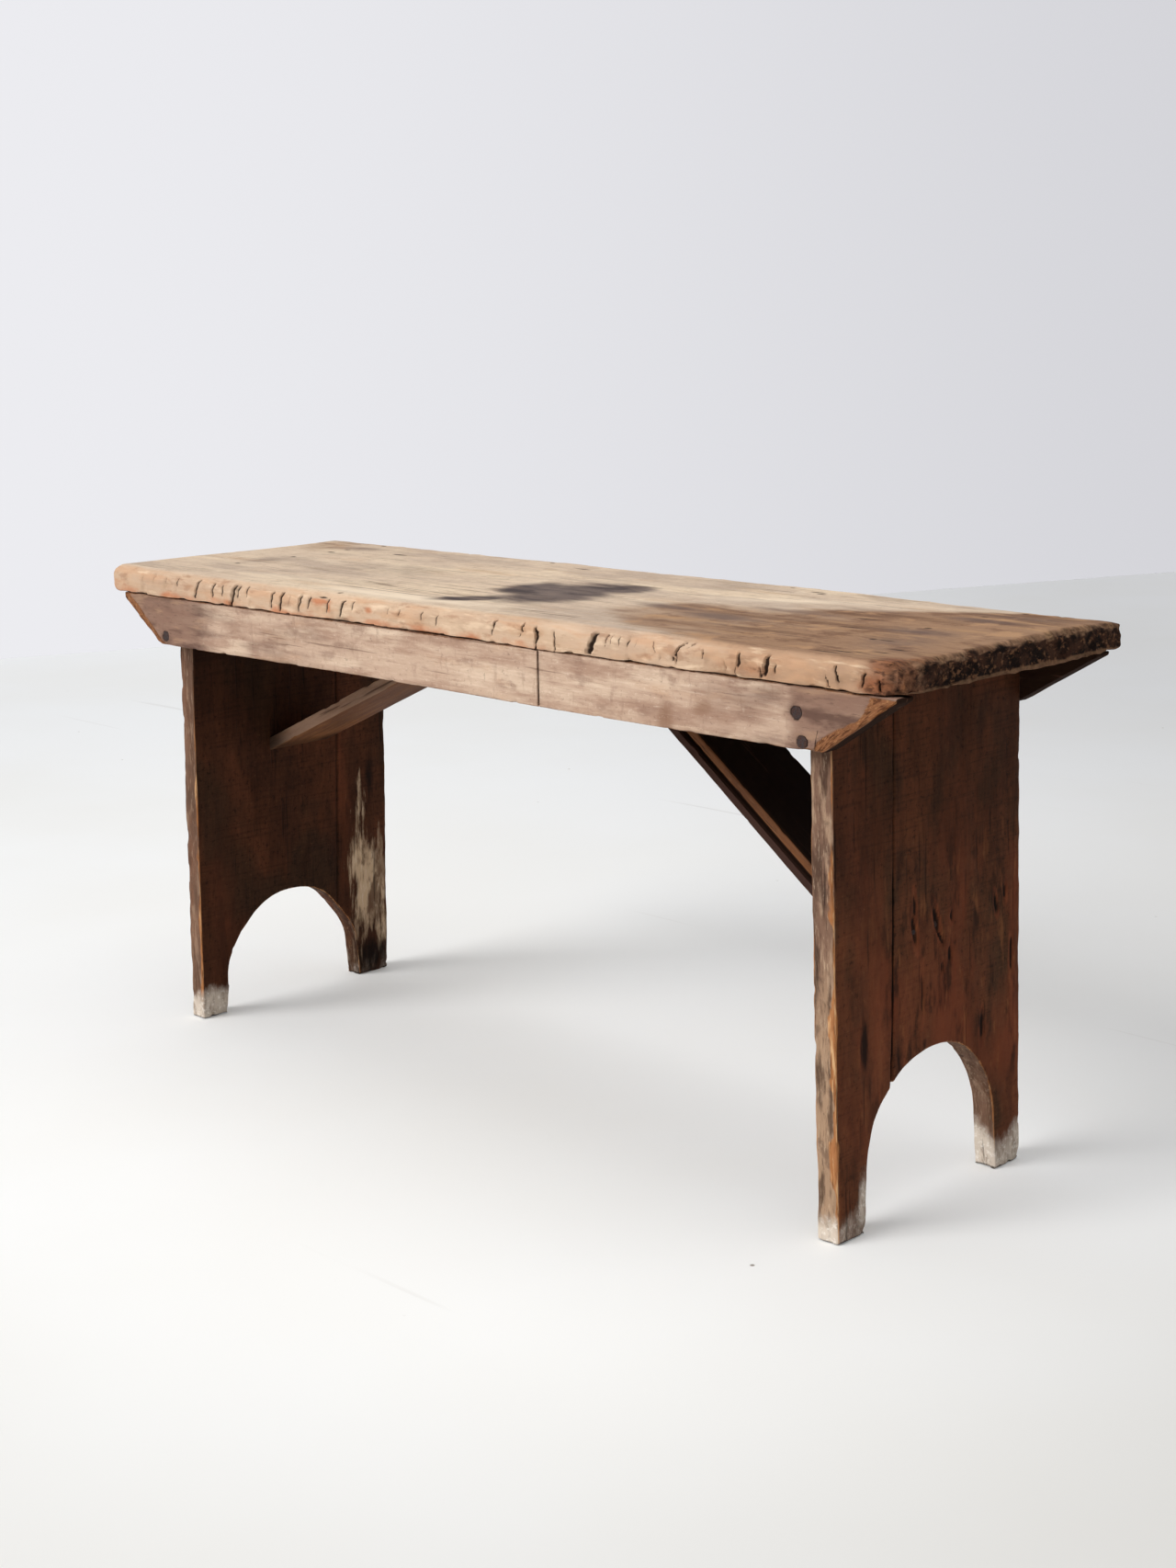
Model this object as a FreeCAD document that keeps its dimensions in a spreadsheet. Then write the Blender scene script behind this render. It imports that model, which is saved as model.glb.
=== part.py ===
import FreeCAD, Part
import math
import os

import Sketcher

# Farmhouse bench, millimetres. +X runs along the seat, +Y to the back edge, +Z up.
# The origin is on the floor, under the middle of the seat.
# The maker nailed it up from seven boards: a seat plank on two arched leg boards, an apron
# on the front and back edges of the legs, and two slanting braces from the legs to the seat.

SIZES = {
    # Seat plank
    "seat_length": 966.0,
    "seat_depth": 290.0,
    "seat_thickness": 26.0,
    "seat_corner_radius": 12.0,
    "seat_top_radius": 10.0,
    "seat_under_radius": 4.0,
    # Leg boards, which lean in a little towards the seat
    "leg_height": 431.0,
    "leg_thickness": 21.0,
    "leg_lean": 13.0,
    "left_foot_inset": 71.0,
    "right_foot_inset": 64.0,
    "arch_radius": 84.0,
    "arch_flare": 3.0,
    "left_arch_spring": 30.0,
    "left_arch_shift": -4.5,
    "right_arch_spring": 44.0,
    "right_arch_shift": -0.5,
    # Apron boards with slanting ends
    "apron_height": 47.0,
    "apron_thickness": 20.0,
    "front_overhang": 2.0,
    "back_overhang": 5.0,
    "front_left_inset": 23.0,
    "front_right_inset": 3.0,
    "back_left_inset": 14.0,
    "back_right_inset": 7.0,
    "front_left_slant": 58.0,
    "front_right_slant": 67.0,
    "back_left_slant": 63.0,
    "back_right_slant": 74.0,
    "left_nose": 6.0,
    "right_nose": 3.0,
    "apron_corner_radius": 7.0,
    # Braces, ripped from flooring: the right one still has its groove
    "left_brace_thickness": 12.0,
    "left_brace_width": 74.0,
    "left_brace_setback": 91.0,
    "left_brace_foot": 278.0,
    "left_brace_end": 43.6,
    "right_brace_thickness": 20.0,
    "right_brace_width": 82.0,
    "right_brace_setback": 80.0,
    "right_brace_foot": 218.0,
    "right_brace_end": 108.4,
    "groove_width": 5.5,
    "groove_depth": 6.0,
    # One straight saw kerf, down the apron from a little way up the seat's front edge
    "kerf_place": 123.5,
    "kerf_width": 1.4,
    "kerf_depth": 5.0,
    "kerf_rise": 7.0,
    # Nails
    "shank_size": 3.2,
    "shank_tip": 1.2,
    "big_head_radius": 4.7,
    "small_head_radius": 2.8,
    "head_thickness": 1.5,
    "apron_nail_length": 50.0,
    "seat_leg_nail_length": 60.0,
    "seat_apron_nail_length": 48.0,
    "brace_leg_nail_length": 32.0,
    "brace_seat_nail_length": 26.0,
    "punch_depth": 6.0,
    "head_recess": 0.6,
    "brace_leg_nail_recess": 1.6,
    "brace_leg_nail_rise": 8.0,
    "brace_seat_nail_end_gap": 14.0,
    # How far a cutting shape runs past the wood
    "overrun": 10.0,
}

# Where the nails stand, as shares of the board that they are driven through. Each front
# apron nail also has its place on the leg's edge, as a share of the leg's thickness outwards
# from its middle.
APRON_NAIL_HIGH_SHARE = 0.58
APRON_NAIL_LOW_SHARE = 0.13
FRONT_APRON_NAILS = ((1, 0.58, -0.27), (1, 0.13, -0.05), (-1, 0.19, 0.157))
LEG_NAIL_SHARES = (0.27, 0.55, 0.85)
SEAT_NAIL_SHARES = (-0.8, -0.28, 0.34, 0.835)
BRACE_LEG_NAIL_SHARES = (0.23, 0.57, 0.93)
BRACE_SEAT_NAIL_SHARES = (0.25, 0.75)

# How far the slanting brace nails drop, as a share of how far they go in
BRACE_LEG_NAIL_DROP_SHARE = 0.53

doc = FreeCAD.newDocument("bench")
sheet = doc.addObject("Spreadsheet::Sheet", "sizes")
for row, (alias, value) in enumerate(SIZES.items(), start=1):
    sheet.set(f"A{row}", alias)
    sheet.set(f"B{row}", str(value))
    sheet.setAlias(f"B{row}", alias)
doc.recompute()

parts = []

# Expressions that several boards share
FRONT_FACE = "(-sizes.seat_depth / 2 + sizes.front_overhang)"
LEG_FRONT = f"({FRONT_FACE} + sizes.apron_thickness)"
LEG_WIDTH = ("(sizes.seat_depth - sizes.front_overhang - sizes.back_overhang"
             " - 2 * sizes.apron_thickness)")
LEG_BACK = f"({LEG_FRONT} + {LEG_WIDTH})"
BACK_FACE = f"({LEG_BACK} + sizes.apron_thickness)"
TOP = "(sizes.leg_height + sizes.seat_thickness)"
NAIL_TOP = f"({TOP} - sizes.punch_depth)"


def new_body(name):
    body = doc.addObject("PartDesign::Body", name)
    body.Label = name
    return body


def attached_sketch(body, name, role):
    plane = next(item for item in body.Origin.OriginFeatures if item.Role == role)
    sketch = body.newObject("Sketcher::SketchObject", name)
    sketch.AttachmentSupport = [(plane, "")]
    sketch.MapMode = "FlatFace"
    return sketch


def point_of(sketch, across, up):
    """The point that two expressions give at present."""
    return FreeCAD.Vector(float(sketch.evalExpression(across)), float(sketch.evalExpression(up)), 0)


def pin_point(sketch, geometry, end, across, up):
    """Ties one point of a sketch to two expressions, measured from the sketch's origin."""
    for kind, expression in (("DistanceX", across), ("DistanceY", up)):
        length = float(sketch.evalExpression(expression))
        index = sketch.addConstraint(Sketcher.Constraint(kind, -1, 1, geometry, end, length))
        sketch.setExpression(f"Constraints[{index}]", expression)


def outline(body, name, role, corners):
    """A closed straight-sided outline whose corners are pairs of expressions."""
    sketch = attached_sketch(body, name, role)
    ring = [point_of(sketch, across, up) for across, up in corners]
    for start, stop in zip(ring, ring[1:] + ring[:1]):
        sketch.addGeometry(Part.LineSegment(start, stop), False)
    for side, (across, up) in enumerate(corners):
        previous = (side - 1) % len(corners)
        sketch.addConstraint(Sketcher.Constraint("Coincident", previous, 2, side, 1))
        pin_point(sketch, side, 1, across, up)
    return sketch


def pad(body, name, sketch, length, towards_back=False):
    feature = body.newObject("PartDesign::Pad", name)
    feature.Profile = sketch
    feature.setExpression("Length", length)
    feature.Reversed = towards_back
    doc.recompute()
    return feature


def pocket(body, name, sketch, length, reverse):
    """Cuts the sketch into the body and makes sure that wood has gone."""
    before = body.Shape.Volume
    feature = body.newObject("PartDesign::Pocket", name)
    feature.Profile = sketch
    feature.setExpression("Length", length)
    feature.Reversed = reverse
    doc.recompute()
    if not body.Shape.Volume < before:
        raise RuntimeError(f"{name} removes no wood")
    return feature


def fillet(body, name, base, test, radius):
    """Rounds the edges of base whose own bounding box passes the test."""
    names = [f"Edge{number}" for number, edge in enumerate(base.Shape.Edges, start=1)
             if test(edge.BoundBox)]
    feature = body.newObject("PartDesign::Fillet", name)
    feature.Base = (base, names)
    feature.setExpression("Radius", radius)
    doc.recompute()
    return feature


def place(thing, across="0", back="0", up="0"):
    thing.setExpression("Placement.Base.x", across)
    thing.setExpression("Placement.Base.y", back)
    thing.setExpression("Placement.Base.z", up)


# Nails: a tapered square shank under a round head. The point of a nail lies along its own
# -Z, and the top of its head is at its own origin.

def nail(name, length, head_radius, across, back, up, direction):
    shank = doc.addObject("Part::Wedge", name + "_shank")
    for low, high, size in (
        ("Xmin", "Xmax", "shank_size"),
        ("Zmin", "Zmax", "shank_size"),
        ("X2min", "X2max", "shank_tip"),
        ("Z2min", "Z2max", "shank_tip"),
    ):
        shank.setExpression(low, f"-sizes.{size} / 2")
        shank.setExpression(high, f"sizes.{size} / 2")
    shank.Ymin = 0
    shank.setExpression("Ymax", f"sizes.{length}")
    shank.Placement.Rotation = FreeCAD.Rotation(FreeCAD.Vector(0, 1, 0), FreeCAD.Vector(0, 0, -1))
    head = doc.addObject("Part::Cylinder", name + "_head")
    head.setExpression("Radius", f"sizes.{head_radius}")
    head.setExpression("Height", "sizes.head_thickness")
    head.setExpression("Placement.Base.z", "-sizes.head_thickness")
    whole = doc.addObject("Part::MultiFuse", name)
    whole.Shapes = [shank, head]
    whole.Placement.Rotation = FreeCAD.Rotation(FreeCAD.Vector(0, 0, -1), direction)
    place(whole, across, back, up)
    return whole


def nail_group(name, nails):
    group = doc.addObject("Part::Compound", name)
    group.Label = name
    group.Links = nails
    parts.append(group)
    return group


SIDES = (("left", -1), ("right", 1))


def foot_reach(word):
    """How far the outer face of a leg's foot stands from the middle of the bench."""
    return f"(sizes.seat_length / 2 - sizes.{word}_foot_inset)"


def leg_middle(side, height):
    """Where the middle of a leg board's thickness stands at a height."""
    reach = foot_reach("left" if side < 0 else "right")
    shift = f"sizes.leg_lean * ({height}) / sizes.leg_height"
    return f"({side}) * ({reach} - sizes.leg_thickness / 2 - {shift})"


FORWARD = FreeCAD.Vector(0, 1, 0)
BACKWARD = FreeCAD.Vector(0, -1, 0)
DOWN = FreeCAD.Vector(0, 0, -1)

# The aprons are nailed to the edges of the legs: two nails at the front right, one at the
# front left, and two at each end of the back.

def apron_nail_height(share):
    return f"(sizes.leg_height - sizes.apron_height * {1 - share})"


front_apron_nails = nail_group("front_apron_nails", [
    nail(f"front_apron_nail_{number}", "apron_nail_length", "big_head_radius",
         f"{leg_middle(side, apron_nail_height(share))} + ({side * outwards}) * sizes.leg_thickness",
         f"{FRONT_FACE} + sizes.head_recess", apron_nail_height(share), FORWARD)
    for number, (side, share, outwards) in enumerate(FRONT_APRON_NAILS)
])
back_apron_nails = nail_group("back_apron_nails", [
    nail(f"back_apron_nail_{number}", "apron_nail_length", "big_head_radius",
         leg_middle(side, apron_nail_height(share)), f"{BACK_FACE} - sizes.head_recess",
         apron_nail_height(share), BACKWARD)
    for number, (side, share) in enumerate(
        (side, share) for side in (-1, 1) for share in (APRON_NAIL_HIGH_SHARE, APRON_NAIL_LOW_SHARE))
])

# The seat is nailed down through its top, into the legs and into both aprons. These nails
# are punched below the surface.

leg_nails = {}
for word, side in SIDES:
    leg_nails[side] = nail_group(f"{word}_leg_nails", [
        nail(f"{word}_leg_nail_{number}", "seat_leg_nail_length", "small_head_radius",
             leg_middle(side, "sizes.leg_height"), f"{LEG_FRONT} + {LEG_WIDTH} * {share}",
             NAIL_TOP, DOWN)
        for number, share in enumerate(LEG_NAIL_SHARES)
    ])
seat_nails = {}
for word, middle in (("front", f"({FRONT_FACE} + sizes.apron_thickness / 2)"),
                     ("back", f"({BACK_FACE} - sizes.apron_thickness / 2)")):
    seat_nails[word] = nail_group(f"{word}_seat_nails", [
        nail(f"{word}_seat_nail_{number}", "seat_apron_nail_length", "small_head_radius",
             f"sizes.seat_length / 2 * {share}", middle, NAIL_TOP, DOWN)
        for number, share in enumerate(SEAT_NAIL_SHARES)
    ])

# The braces are cut to fit against the leaning leg and under the seat. Each has nails driven
# down at a slant from the leg's outer face, and nails square through its own underside into
# the seat.

braces = {}
brace_nails = {}
for word, side in SIDES:
    thickness = f"sizes.{word}_brace_thickness"
    width = f"sizes.{word}_brace_width"
    foot = f"sizes.{word}_brace_foot"
    reach = f"({foot_reach(word)} - sizes.leg_thickness)"
    lean = "(sizes.leg_lean / sizes.leg_height)"
    top_at_seat = f"sizes.{word}_brace_end"
    run = f"({reach} - {lean} * {foot} - {top_at_seat})"
    rise = f"(sizes.leg_height - {foot})"
    slant = f"sqrt({run} ^ 2 + {rise} ^ 2)"
    slope = f"({rise} / {run})"
    low_at_seat = f"({top_at_seat} - {thickness} * {slant} / {rise})"
    low_at_leg = (f"((sizes.leg_height - {slope} * ({reach} - {low_at_seat}))"
                  f" / (1 - {lean} * {slope}))")
    corners = (
        (f"({side}) * ({reach} - {lean} * {foot})", foot),
        (f"({side}) * {top_at_seat}", "sizes.leg_height"),
        (f"({side}) * {low_at_seat}", "sizes.leg_height"),
        (f"({side}) * ({reach} - {lean} * {low_at_leg})", low_at_leg),
    )
    body = new_body(f"{word}_brace_board")
    sketch = outline(body, f"{word}_brace_outline", "XZ_Plane", corners)
    pad(body, f"{word}_brace_pad", sketch, width, towards_back=True)
    front = f"({LEG_FRONT} + sizes.{word}_brace_setback)"
    place(body, back=front)
    if word == "right":
        # The groove runs along the middle of the front edge, past both ends.
        shoulder = f"(({thickness} - sizes.groove_width) / 2 * {slant} / {rise})"
        past = "(sizes.overrun * 3)"
        groove_left = f"({low_at_seat} + {shoulder})"
        groove_right = f"({top_at_seat} - {shoulder})"
        groove = outline(body, "right_brace_groove_outline", "XZ_Plane", (
            (f"{groove_right} + {run} + {past}", f"{foot} - {slope} * {past}"),
            (f"{groove_right} - {past}", f"sizes.leg_height + {slope} * {past}"),
            (f"{groove_left} - {past}", f"sizes.leg_height + {slope} * {past}"),
            (f"{groove_left} + {run} + {past}", f"{foot} - {slope} * {past}"),
        ))
        pocket(body, "right_brace_groove", groove, "sizes.groove_depth", reverse=False)
    braces[side] = body
    nails = []
    height = f"({foot} + sizes.brace_leg_nail_rise)"
    outer = (f"({side}) * ({foot_reach(word)} - {lean} * {height}"
             " - sizes.brace_leg_nail_recess)")
    slanting = FreeCAD.Vector(-side, 0, -BRACE_LEG_NAIL_DROP_SHARE)
    for number, share in enumerate(BRACE_LEG_NAIL_SHARES):
        nails.append(nail(f"{word}_brace_leg_nail_{number}", "brace_leg_nail_length",
                          "small_head_radius", outer, f"{front} + {width} * {share}", height,
                          slanting))
    square_up = FreeCAD.Vector(side * float(body.evalExpression(rise)), 0,
                               float(body.evalExpression(run)))
    for number, share in enumerate(BRACE_SEAT_NAIL_SHARES):
        gap = "sizes.brace_seat_nail_end_gap"
        nails.append(nail(f"{word}_brace_seat_nail_{number}", "brace_seat_nail_length",
                          "small_head_radius",
                          f"({side}) * ({low_at_seat} + {gap} * {run} / {slant})",
                          f"{front} + {width} * {share}",
                          f"sizes.leg_height - {gap} * {rise} / {slant}", square_up))
    brace_nails[side] = nail_group(f"{word}_brace_nails", nails)

# The leg boards: straight sided, with an arch cut from the foot.

legs = {}
for word, side in SIDES:
    reach = foot_reach(word)
    inner = f"({reach} - sizes.leg_thickness)"
    body = new_body(f"{word}_leg_board")
    sketch = outline(body, f"{word}_leg_outline", "XZ_Plane", (
        (f"({side}) * {reach}", "0"),
        (f"({side}) * ({reach} - sizes.leg_lean)", "sizes.leg_height"),
        (f"({side}) * ({inner} - sizes.leg_lean)", "sizes.leg_height"),
        (f"({side}) * {inner}", "0"),
    ))
    pad(body, f"{word}_leg_pad", sketch, LEG_WIDTH, towards_back=True)
    place(body, back=LEG_FRONT)
    spring = f"sizes.{word}_arch_spring"
    middle = f"({LEG_WIDTH} / 2 + sizes.{word}_arch_shift)"
    arch = attached_sketch(body, f"{word}_arch_outline", "YZ_Plane")
    arch.setExpression("AttachmentOffset.Base.z", f"({side}) * ({reach} + sizes.overrun)")
    wide = f"(sizes.arch_radius + sizes.arch_flare * (1 + sizes.overrun / {spring}))"
    start = (f"{middle} + sizes.arch_radius", spring)
    stop = (f"{middle} - sizes.arch_radius", spring)
    low_left = (f"{middle} - {wide}", "-sizes.overrun")
    low_right = (f"{middle} + {wide}", "-sizes.overrun")
    start_at, stop_at, left_at, right_at = (
        point_of(arch, *corner) for corner in (start, stop, low_left, low_right))
    circle = Part.Circle((start_at + stop_at) / 2, FreeCAD.Vector(0, 0, 1), SIZES["arch_radius"])
    arch.addGeometry(Part.Arc(circle, 0, math.pi), False)
    arch.addGeometry(Part.LineSegment(stop_at, left_at), False)
    arch.addGeometry(Part.LineSegment(left_at, right_at), False)
    arch.addGeometry(Part.LineSegment(right_at, start_at), False)
    for side_of_arch in range(4):
        following = (side_of_arch + 1) % 4
        arch.addConstraint(Sketcher.Constraint("Coincident", side_of_arch, 2, following, 1))
    pin_point(arch, 0, 1, *start)
    pin_point(arch, 0, 2, *stop)
    pin_point(arch, 1, 2, *low_left)
    pin_point(arch, 3, 1, *low_right)
    level = arch.addConstraint(Sketcher.Constraint("DistanceY", -1, 1, 0, 3, start_at.y))
    arch.setExpression(f"Constraints[{level}]", spring)
    pocket(body, f"{word}_arch", arch, "sizes.leg_thickness + sizes.leg_lean + 2 * sizes.overrun",
           reverse=side < 0)
    legs[side] = body

# The aprons: each end drops as a short blunt nose and then slants in to the lower edge.

aprons = {}
for word, face in (("front", FRONT_FACE), ("back", LEG_BACK)):
    left = f"(-sizes.seat_length / 2 + sizes.{word}_left_inset)"
    right = f"(sizes.seat_length / 2 - sizes.{word}_right_inset)"
    lower = "(sizes.leg_height - sizes.apron_height)"
    body = new_body(f"{word}_apron_board")
    sketch = outline(body, f"{word}_apron_outline", "XZ_Plane", (
        (left, "sizes.leg_height"),
        (left, "sizes.leg_height - sizes.left_nose"),
        (f"{left} + sizes.{word}_left_slant", lower),
        (f"{right} - sizes.{word}_right_slant", lower),
        (right, "sizes.leg_height - sizes.right_nose"),
        (right, "sizes.leg_height"),
    ))
    board = pad(body, f"{word}_apron_pad", sketch, "sizes.apron_thickness", towards_back=True)
    middle_height = SIZES["leg_height"] - SIZES["apron_height"] / 2
    fillet(body, f"{word}_apron_corners", board,
           lambda box: box.XLength < box.YLength and box.ZMax < middle_height,
           "sizes.apron_corner_radius")
    place(body, back=face)
    aprons[word] = body

# The seat plank, rounded by wear at its corners and along its edges.

seat = new_body("seat_board")
half_length = "sizes.seat_length / 2"
half_depth = "sizes.seat_depth / 2"
sketch = outline(seat, "seat_outline", "XY_Plane", (
    (f"-{half_length}", f"-{half_depth}"),
    (half_length, f"-{half_depth}"),
    (half_length, half_depth),
    (f"-{half_length}", half_depth),
))
plank = pad(seat, "seat_pad", sketch, "sizes.seat_thickness")
half_thickness = SIZES["seat_thickness"] / 2
corners_rounded = fillet(seat, "seat_corners", plank,
                         lambda box: box.ZMin < half_thickness < box.ZMax,
                         "sizes.seat_corner_radius")
top_rounded = fillet(seat, "seat_top_edge", corners_rounded,
                     lambda box: box.ZMin > half_thickness, "sizes.seat_top_radius")
fillet(seat, "seat_under_edge", top_rounded,
       lambda box: box.ZMax < half_thickness, "sizes.seat_under_radius")
place(seat, up="sizes.leg_height")

# The cuts that are not nails: the holes that the punch or the hammer leaves above the nail
# heads, and the saw kerf.


def holes_above(name, nails, radius):
    """Round holes that run on outwards from the heads of some nails."""
    holes = []
    for one in nails:
        hole = doc.addObject("Part::Cylinder", one.Name + "_hole")
        hole.setExpression("Radius", f"sizes.{radius}")
        hole.setExpression("Height", "sizes.punch_depth + sizes.overrun")
        hole.Placement.Rotation = one.Placement.Rotation
        place(hole, *(f"{one.Name}.Placement.Base.{axis}" for axis in "xyz"))
        holes.append(hole)
    group = doc.addObject("Part::Compound", name)
    group.Links = holes
    return group


seat_holes = holes_above("seat_holes", [
    one for group in (leg_nails[-1], leg_nails[1], seat_nails["front"], seat_nails["back"])
    for one in group.Links
], "small_head_radius")
apron_holes = holes_above("apron_holes", front_apron_nails.Links + back_apron_nails.Links,
                          "big_head_radius")
leg_holes = holes_above("leg_holes", [
    one for group in brace_nails.values() for one in group.Links if "leg" in one.Name
], "small_head_radius")

kerf = doc.addObject("Part::Box", "saw_kerf")
kerf.setExpression("Length", "sizes.kerf_width")
kerf.setExpression("Width", "sizes.front_overhang + sizes.kerf_depth + sizes.overrun")
kerf.setExpression("Height", "sizes.kerf_rise + sizes.apron_height + sizes.overrun")
place(kerf, "sizes.kerf_place - sizes.kerf_width / 2",
      f"{FRONT_FACE} - sizes.front_overhang - sizes.overrun",
      "sizes.leg_height - sizes.apron_height - sizes.overrun")


def nailed(name, board, *cuts):
    """The finished board: the blank with the holes of all that is driven through it."""
    tools = doc.addObject("Part::Compound", name + "_cuts")
    tools.Links = list(cuts)
    finished = doc.addObject("Part::Cut", name)
    finished.Label = name
    finished.Base = board
    finished.Tool = tools
    parts.append(finished)


nailed("seat_plank", seat, leg_nails[-1], leg_nails[1], seat_nails["front"], seat_nails["back"],
       brace_nails[-1], brace_nails[1], seat_holes, kerf)
nailed("front_apron", aprons["front"], front_apron_nails, seat_nails["front"], apron_holes, kerf)
nailed("back_apron", aprons["back"], back_apron_nails, seat_nails["back"], apron_holes)
nailed("left_leg", legs[-1], front_apron_nails, back_apron_nails, leg_nails[-1], brace_nails[-1],
       leg_holes)
nailed("right_leg", legs[1], front_apron_nails, back_apron_nails, leg_nails[1], brace_nails[1],
       leg_holes)
nailed("left_brace", braces[-1], brace_nails[-1])
nailed("right_brace", braces[1], brace_nails[1])

doc.recompute()
for thing in doc.Objects:
    if "Invalid" in thing.State or "Error" in thing.State:
        raise RuntimeError(f"{thing.Name} failed: {thing.State}")
for part in parts:
    if part.Shape.isNull() or not part.Shape.isValid():
        raise RuntimeError(f"{part.Label} has no valid shape")

os.makedirs("parts", exist_ok=True)
for part in parts:
    part.Shape.exportStep(os.path.join("parts", part.Label + ".step"))
    print(f"{part.Label}: {len(part.Shape.Solids)} solids, {part.Shape.Volume:.0f} cubic mm")
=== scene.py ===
import math

import bmesh
import bpy
import numpy as np
from mathutils import Matrix, Vector


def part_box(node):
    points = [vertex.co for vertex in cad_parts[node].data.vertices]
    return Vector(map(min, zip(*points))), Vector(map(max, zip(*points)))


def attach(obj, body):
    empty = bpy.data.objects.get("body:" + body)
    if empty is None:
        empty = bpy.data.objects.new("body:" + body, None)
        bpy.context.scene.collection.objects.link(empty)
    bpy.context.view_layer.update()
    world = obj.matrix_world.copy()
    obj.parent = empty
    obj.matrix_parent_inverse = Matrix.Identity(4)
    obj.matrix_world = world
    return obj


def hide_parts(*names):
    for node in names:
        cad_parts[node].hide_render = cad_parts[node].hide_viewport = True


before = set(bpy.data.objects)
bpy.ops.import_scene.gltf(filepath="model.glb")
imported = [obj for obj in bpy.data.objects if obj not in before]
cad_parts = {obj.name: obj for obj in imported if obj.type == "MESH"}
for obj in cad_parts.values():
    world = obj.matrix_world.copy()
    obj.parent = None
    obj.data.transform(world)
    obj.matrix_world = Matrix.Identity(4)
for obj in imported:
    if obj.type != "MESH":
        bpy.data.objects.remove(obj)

MM = 0.001
# In millimetres: points this close are one point, and points this close to a face lie on it
SAME_POINT, ON_FACE = 0.003, 0.01
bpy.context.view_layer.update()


# Leg boards. Each leg is one wide pine board, flat sawn and stained dark, with an arch cut from
# its foot so that it stands on two feet. It leans in a little. Its arrises are rubbed down to
# bare orange wood, and its feet are bleached by wet floors.

def corners(node):
    """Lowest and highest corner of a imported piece, in millimetres."""
    return [np.array(corner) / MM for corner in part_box(node)]


def lines(start, stop, step, close_to=(), close_step=1.0, reach=6.0):
    """Places of a net's lines from start to stop, drawn closer near some of the places."""
    places = [start]
    while places[-1] < stop:
        gap = min([abs(places[-1] - place) for place in close_to] + [reach])
        places.append(places[-1] + close_step + (step - close_step) * gap / reach)
    places = np.array(places)
    return start + (places - start) * (stop - start) / (places[-1] - start)


def read_points(piece, what="co"):
    points = np.empty(len(piece.data.vertices) * 3)
    piece.data.vertices.foreach_get(what, points)
    return points.reshape(-1, 3)


def write_points(piece, points):
    piece.data.vertices.foreach_set("co", np.ravel(points))
    piece.data.update()


def select_where(piece, kind, test):
    """Selects, in edit mode, only the points, edges or faces that pass the test."""
    net = bmesh.from_edit_mesh(piece.data)
    bpy.ops.mesh.select_all(action="DESELECT")
    for part in getattr(net, kind):
        part.select_set(test(part))
    bmesh.update_edit_mesh(piece.data)


def sawn_board(name, along, across, through, opening=None):
    """A board as a closed net of faces, with a blank's sharp edges. The arrays are the places
    of the net's lines along the grain, across it and through the thickness. The opening is a
    function that gives how far places are from its edge, and the way to that edge."""
    bpy.ops.object.select_all(action="DESELECT")
    bpy.ops.mesh.primitive_grid_add(x_subdivisions=len(along) - 1, y_subdivisions=len(across) - 1,
                                    size=1)
    piece = bpy.context.active_object
    piece.name = name
    points = read_points(piece)
    for axis, places in enumerate((along, across)):
        even = np.linspace(-0.5, 0.5, len(places))
        points[:, axis] = np.interp(points[:, axis], even, places)
    write_points(piece, points)
    bpy.context.tool_settings.mesh_select_mode = (False, False, True)
    bpy.ops.object.mode_set(mode="EDIT")
    if opening:
        step = max(np.diff(along).max(), np.diff(across).max())
        cut = bmesh.from_edit_mesh(piece.data)
        cut.faces.index_update()
        middles = np.array([face.calc_center_median()[:2] for face in cut.faces])
        inside = opening(middles)[0] < 0
        select_where(piece, "faces", lambda face: bool(inside[face.index]))
        bpy.ops.mesh.delete(type="FACE")
        net = bmesh.from_edit_mesh(piece.data)
        rim = [point for point in net.verts if point.is_boundary]
        places = np.array([point.co[:2] for point in rim])
        gap, way = opening(places)
        for point, place, near in zip(rim, places + way * gap[:, None], np.abs(gap) < step):
            if near:
                point.co.x, point.co.y = place
        bmesh.update_edit_mesh(piece.data)
        bpy.ops.mesh.select_all(action="SELECT")
        bpy.ops.mesh.remove_doubles(threshold=SAME_POINT)
    bpy.ops.mesh.select_all(action="SELECT")
    bpy.ops.mesh.extrude_region_move(TRANSFORM_OT_translate={"value": (0, 0, 1)})
    bpy.context.tool_settings.mesh_select_mode = (False, True, False)
    select_where(piece, "edges", lambda edge: abs(edge.verts[0].co.z - edge.verts[1].co.z) > 0.5)
    bpy.ops.mesh.subdivide(number_cuts=len(through) - 2)
    bpy.ops.mesh.select_all(action="SELECT")
    bpy.ops.mesh.normals_make_consistent(inside=False)
    bpy.ops.object.mode_set(mode="OBJECT")
    points = read_points(piece)
    points[:, 2] = np.interp(points[:, 2], np.linspace(0, 1, len(through)), through)
    return piece, points


NOISE_PRIMES = (73856093, 19349663, 83492791, 2654435761)


def noise(points, cell, seed=0):
    """Smooth random waves from -1 to 1. The cell is the size of one wave along each axis."""
    spot = points / np.array(cell, float)
    corner = np.floor(spot).astype(np.int64)
    blend = spot - corner
    blend = blend * blend * (3 - 2 * blend)
    total = np.zeros(len(points))
    for step in np.ndindex(2, 2, 2):
        key = np.full(len(points), seed * NOISE_PRIMES[3], dtype=np.int64)
        weight = np.ones(len(points))
        for axis in range(3):
            key ^= (corner[:, axis] + step[axis]) * NOISE_PRIMES[axis]
            weight *= blend[:, axis] if step[axis] else 1 - blend[:, axis]
        key ^= key >> 15
        key = (key * NOISE_PRIMES[3]) & 0xFFFFFFFF
        key ^= key >> 13
        total += weight * ((key & 0xFFFF) / 0x7FFF - 1)
    return total


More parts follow.
